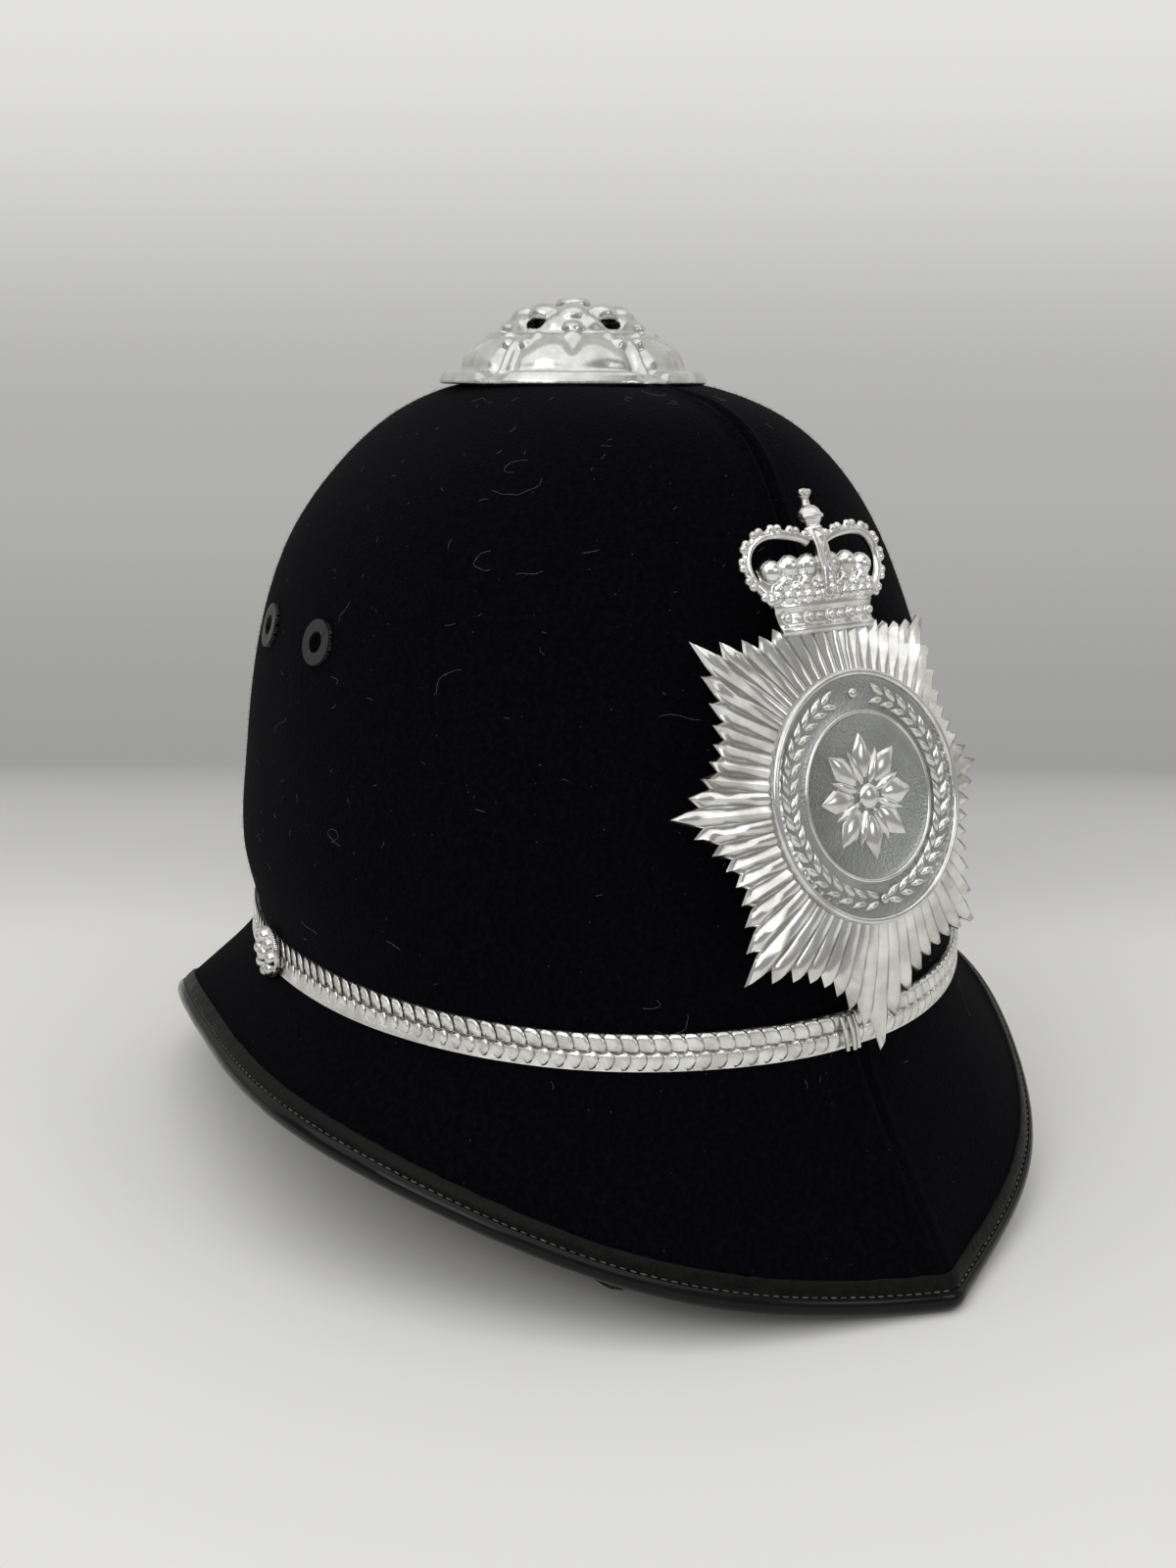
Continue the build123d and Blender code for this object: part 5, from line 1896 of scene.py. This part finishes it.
    def inner_petals(self) -> bpy.types.Object:
        """Model the five inner petals, each a cupped lobe over its vent, and the berries between them.

        Returns:
            One piece.
        """
        parts = []
        for step in range(self.petals):
            for lobe in self.lobes:
                way = direction(self.facing + 360 / self.petals * step + lobe.offset)
                at = off_axis(way, lobe.ring, self.level + lobe.rise)
                parts.append(ball(lobe.radius, at, lobe.tall, lobe.segments, lobe.rings))
        return join_pieces("rose_inner_petals", parts)

    def build(self) -> None:
        """Model the rose and dress its button."""
        bright = SATIN.material()
        pressed = join_pieces("top_rose_worked", [self.dome(), self.inner_petals()])
        rose = cast_whole(pressed, self.cast_voxel, self.cast_rounds)
        place(rose, Body.HELMET, Slot.BRIGHT, bright, "top_rose")
        place(worked_copy("rose_button"), Body.HELMET, Slot.BRIGHT, bright, "rose_button")


@dataclass
class ChinStrap:
    """Chin strap in two halves with its buckle and keeper."""

    edge_share: float = 0.6
    face_share: float = 0.85
    keeper_bevel: float = 0.3

    def half(self, node: str, leather: bpy.types.Material, raw: bpy.types.Material) -> bpy.types.Object:
        """Copy half of the strap, with black leather on its faces and raw brown on its cut edges.

        Args:
            node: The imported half.
            leather: Material of the faces.
            raw: Material of the edges.

        Returns:
            The half with both materials.
        """
        piece = worked_copy(node)
        piece.data.materials.append(leather)
        piece.data.materials.append(raw)
        for face in piece.data.polygons:
            level = Vector((face.normal.x, face.normal.y, 0)).length
            is_end = abs(face.normal.y) > self.edge_share and abs(face.normal.x) < self.edge_share
            face.material_index = 1 if level < self.face_share or is_end else 0
        return piece

    def build(self) -> None:
        """Dress both halves, the buckle and the keeper."""
        leather, raw, steel = LEATHER.material(), RAW_EDGE.material(), STEEL.material()
        for node, body in (("strap_long", Body.LONG_STRAP), ("strap_short", Body.SHORT_STRAP)):
            place(self.half(node, leather, raw), body, Slot.LEATHER, None, node)
        keeper = worked_copy("strap_keeper")
        apply_modifier(keeper, "BEVEL", width=self.keeper_bevel * MILLIMETRE, segments=2)
        place(keeper, Body.KEEPER, Slot.LEATHER, leather, "strap_keeper")
        for node, body in (("buckle_frame", Body.BUCKLE), ("buckle_prong", Body.PRONG)):
            place(worked_copy(node), body, Slot.STEEL, steel, node)


@dataclass
class Inside:
    """Pieces inside the helmet and the small fixings."""

    pad_voxel: float = 2.5
    pad_fill: float = 0.6

    def pad(self) -> bpy.types.Object:
        """Model the soft ring pad in the crown.

        Returns:
            The padded ring.
        """
        piece = worked_copy("crown_pad")
        apply_modifier(piece, "REMESH", mode="VOXEL", voxel_size=self.pad_voxel * MILLIMETRE)
        apply_modifier(piece, "SMOOTH", factor=0.8, iterations=12)
        apply_modifier(piece, "SUBSURF", levels=1, render_levels=1)
        return smooth(piece)

    def build(self) -> None:
        """Dress what is inside."""
        pad = self.pad()
        place(pad, Body.HELMET, Slot.PAD, PAD.material(), "crown_pad")
        worked = (
            (Slot.LINING, LINING, ("crown_lining",)),
            (Slot.LEATHERCLOTH, LEATHERCLOTH, ("brim_lining",)),
            (Slot.LEATHER, LEATHER, ("sweatband",)),
            (Slot.CORK, CORK, ("sweatband_spacers",)),
            (Slot.BOARD, BOARD, ("shell",)),
            (Slot.BRIGHT, BRIGHT, ("side_rosette_left", "side_rosette_right")),
            (Slot.BLACKENED, BLACKENED, ("vent_eyelets",)),
            (Slot.STEEL, STEEL, (
                "eyelet_washers", "badge_posts", "badge_washers", "badge_nuts", "rosette_washers",
                "rosette_nuts", "strap_tab_left", "strap_tab_right", "strap_rivets", "rose_stud",
                "vent_collar", "vent_bridge", "wing_nut",
            )),
        )
        for slot, finish, nodes in worked:
            material = finish.material()
            for node in nodes:
                place(worked_copy(node), Body.HELMET, slot, material, node)


@dataclass(frozen=True)
class Lamp:
    """A square soft lamp: its place and edge in metres and its power in watts."""

    name: str
    at: Triple
    size: float
    power: float


@dataclass
class Studio:
    """Pale floor, a backdrop wall that glows with painted light, soft light and the camera.

    The camera's place is in millimetres, its turns in degrees, and the rest in metres.
    """

    eye: Triple = (-263.0, -355.7, 212.1)
    yaw: float = 36.4
    pitch: float = 14.69
    roll: float = -0.31
    focal_pixels: float = 1618.0
    picture_height: float = 1600.0
    sensor: float = 36.0
    floor_colour: tuple[float, ...] = (0.80, 0.795, 0.77, 1.0)
    floor_reaches: tuple[float, ...] = (-3.0, -0.6, 0.0)
    floor_half: float = 3.0
    sweep_start: float = 0.12
    sweep_radius: float = 0.14
    sweep_steps: int = 24
    wall_top: float = 3.0
    # Painted light: the wall glows in these tones instead of being lit by the lamps, and the low tones near
    # its foot are painted shade.
    wall_heights: tuple[float, ...] = (0.0, 0.045, 0.18, 0.36)
    painted_wall_light: tuple[float, ...] = (0.0, 0.34, 0.44, 0.76)
    painted_glow_warmth: Triple = (1.0, 0.993, 0.965)
    room_light: Triple = (0.36, 0.36, 0.3636)
    room_colour: Triple = (0.5, 0.5, 0.49)
    aim: Triple = (0.0, 0.0, 0.1)
    lamps: tuple[Lamp, ...] = (
        Lamp("overhead", (-0.3, -0.1, 1.5), 2.6, 21.0),
        Lamp("front_left", (-1.3, -0.5, 0.9), 0.7, 3.6),
        Lamp("front_right", (0.5, -1.4, 0.8), 0.5, 1.6),
    )

    def camera(self) -> None:
        """Place the camera where the picture was taken from."""
        data = bpy.data.cameras.new("camera")
        data.sensor_width = self.sensor
        data.lens = self.focal_pixels * self.sensor / self.picture_height
        made = stand("camera", data)
        yaw, pitch = math.radians(self.yaw), math.radians(self.pitch)
        ahead = Vector((math.sin(yaw) * math.cos(pitch), math.cos(yaw) * math.cos(pitch), -math.sin(pitch)))
        turn = ahead.to_track_quat("-Z", "Y") @ Quaternion((0, 0, 1), math.radians(-self.roll))
        made.matrix_world = Matrix.Translation(mm(*self.eye)) @ turn.to_matrix().to_4x4()
        bpy.context.scene.camera = made

    def paper(self) -> bpy.types.Material:
        """Build the pale paper, which keeps the helmet's real shadow on the floor and glows softly up the
        wall with painted light, darker towards its foot as painted shade.

        Returns:
            A material that can't be seen from behind, so that a camera there looks through it.
        """
        made = bpy.data.materials.new("paper")
        made.use_nodes = True
        sketch = Shading(made.node_tree)
        spot = sketch.node("ShaderNodeTexCoord").outputs["Object"]
        height = sketch.node("ShaderNodeSeparateXYZ", {"Vector": spot}).outputs["Z"]
        # Painted light up the wall, darker near its foot as painted shade. The wall's own colour turns black,
        # so only this painted glow shows there.
        painted_glow = sketch.node("ShaderNodeValToRGB", {"Fac": sketch.ramp(height, 0.0, self.wall_heights[-1])})
        ramp = painted_glow.color_ramp
        ramp.interpolation = "EASE"
        while len(ramp.elements) < len(self.wall_heights):
            ramp.elements.new(0.5)
        for element, level, tone in zip(ramp.elements, self.wall_heights, self.painted_wall_light):
            element.position = level / self.wall_heights[-1]
            element.color = (*(tone * warmth for warmth in self.painted_glow_warmth), 1.0)
        up_wall = sketch.ramp(height, 0.0, self.wall_heights[1])
        behind = sketch.node("ShaderNodeNewGeometry").outputs["Backfacing"]
        seen = sketch.node("ShaderNodeMath", {0: 1.0, 1: behind}, operation="SUBTRACT")
        sketch.fill(made.node_tree.nodes["Principled BSDF"], {
            "Base Color": sketch.blend(up_wall, self.floor_colour, (0.0, 0.0, 0.0, 1.0)),
            "Emission Color": painted_glow.outputs["Color"],
            "Alpha": seen.outputs[0],
            "Emission Strength": 1.0,
            "Roughness": 0.85,
            "Specular IOR Level": 0.1,
        })
        return made

    def floor(self) -> None:
        """Lay the sheet of paper under the helmet and up the wall behind it."""
        yaw = math.radians(self.yaw)
        ahead = Vector((math.sin(yaw), math.cos(yaw), 0))
        aside = Vector((math.cos(yaw), -math.sin(yaw), 0))
        line = [(reach, 0.0) for reach in (*self.floor_reaches, self.sweep_start)]
        for step in range(1, self.sweep_steps + 1):
            turn = math.radians(90 * step / self.sweep_steps)
            reach = self.sweep_start + self.sweep_radius * math.sin(turn)
            line.append((reach, self.sweep_radius * (1 - math.cos(turn))))
        line.append((self.sweep_start + self.sweep_radius, self.wall_top))
        points = []
        for run, rise in line:
            for half in (-self.floor_half, self.floor_half):
                points.append(ahead * run + aside * half + UP * rise)
        made = mesh_object("floor", points, grid_faces(len(line), 2, closed=False))
        if made.data.polygons[0].normal.z < 0:
            made.data.flip_normals()
        made.data.materials.append(self.paper())

    def hang(self, lamp: Lamp) -> None:
        """Hang one soft lamp, aimed at the helmet.

        Args:
            lamp: Its place and size.
        """
        data = bpy.data.lights.new(lamp.name, "AREA")
        data.size = lamp.size
        data.energy = lamp.power
        at = Vector(lamp.at)
        turn = (Vector(self.aim) - at).to_track_quat("-Z", "Y")
        stand(lamp.name, data).matrix_world = Matrix.Translation(at) @ turn.to_matrix().to_4x4()

    def world(self) -> None:
        """Light the scene evenly and show a grey room behind."""
        world = bpy.data.worlds.new("studio")
        bpy.context.scene.world = world
        world.use_nodes = True
        sketch = Shading(world.node_tree)
        seen = sketch.node("ShaderNodeLightPath").outputs["Is Camera Ray"]
        colour = sketch.blend(seen, (*self.room_light, 1.0), (*self.room_colour, 1.0))
        sketch.fill(world.node_tree.nodes["Background"], {"Color": colour})

    def build(self) -> None:
        """Set up the whole studio."""
        self.camera()
        self.floor()
        for lamp in self.lamps:
            self.hang(lamp)
        self.world()
        bpy.context.scene.view_settings.view_transform = "Standard"


def main() -> None:
    """Build the helmet's pieces and the studio."""
    logging.basicConfig(level=logging.INFO, format="%(name)s: %(message)s")
    parts = (ClothCover(), BrimBinding(), ScaleBand(), Badge(), RoseVent(), ChinStrap(), Inside(), Studio())
    for part in parts:
        part.build()
        log.info("%s is done", type(part).__name__)


if __name__ == "__main__":
    main()
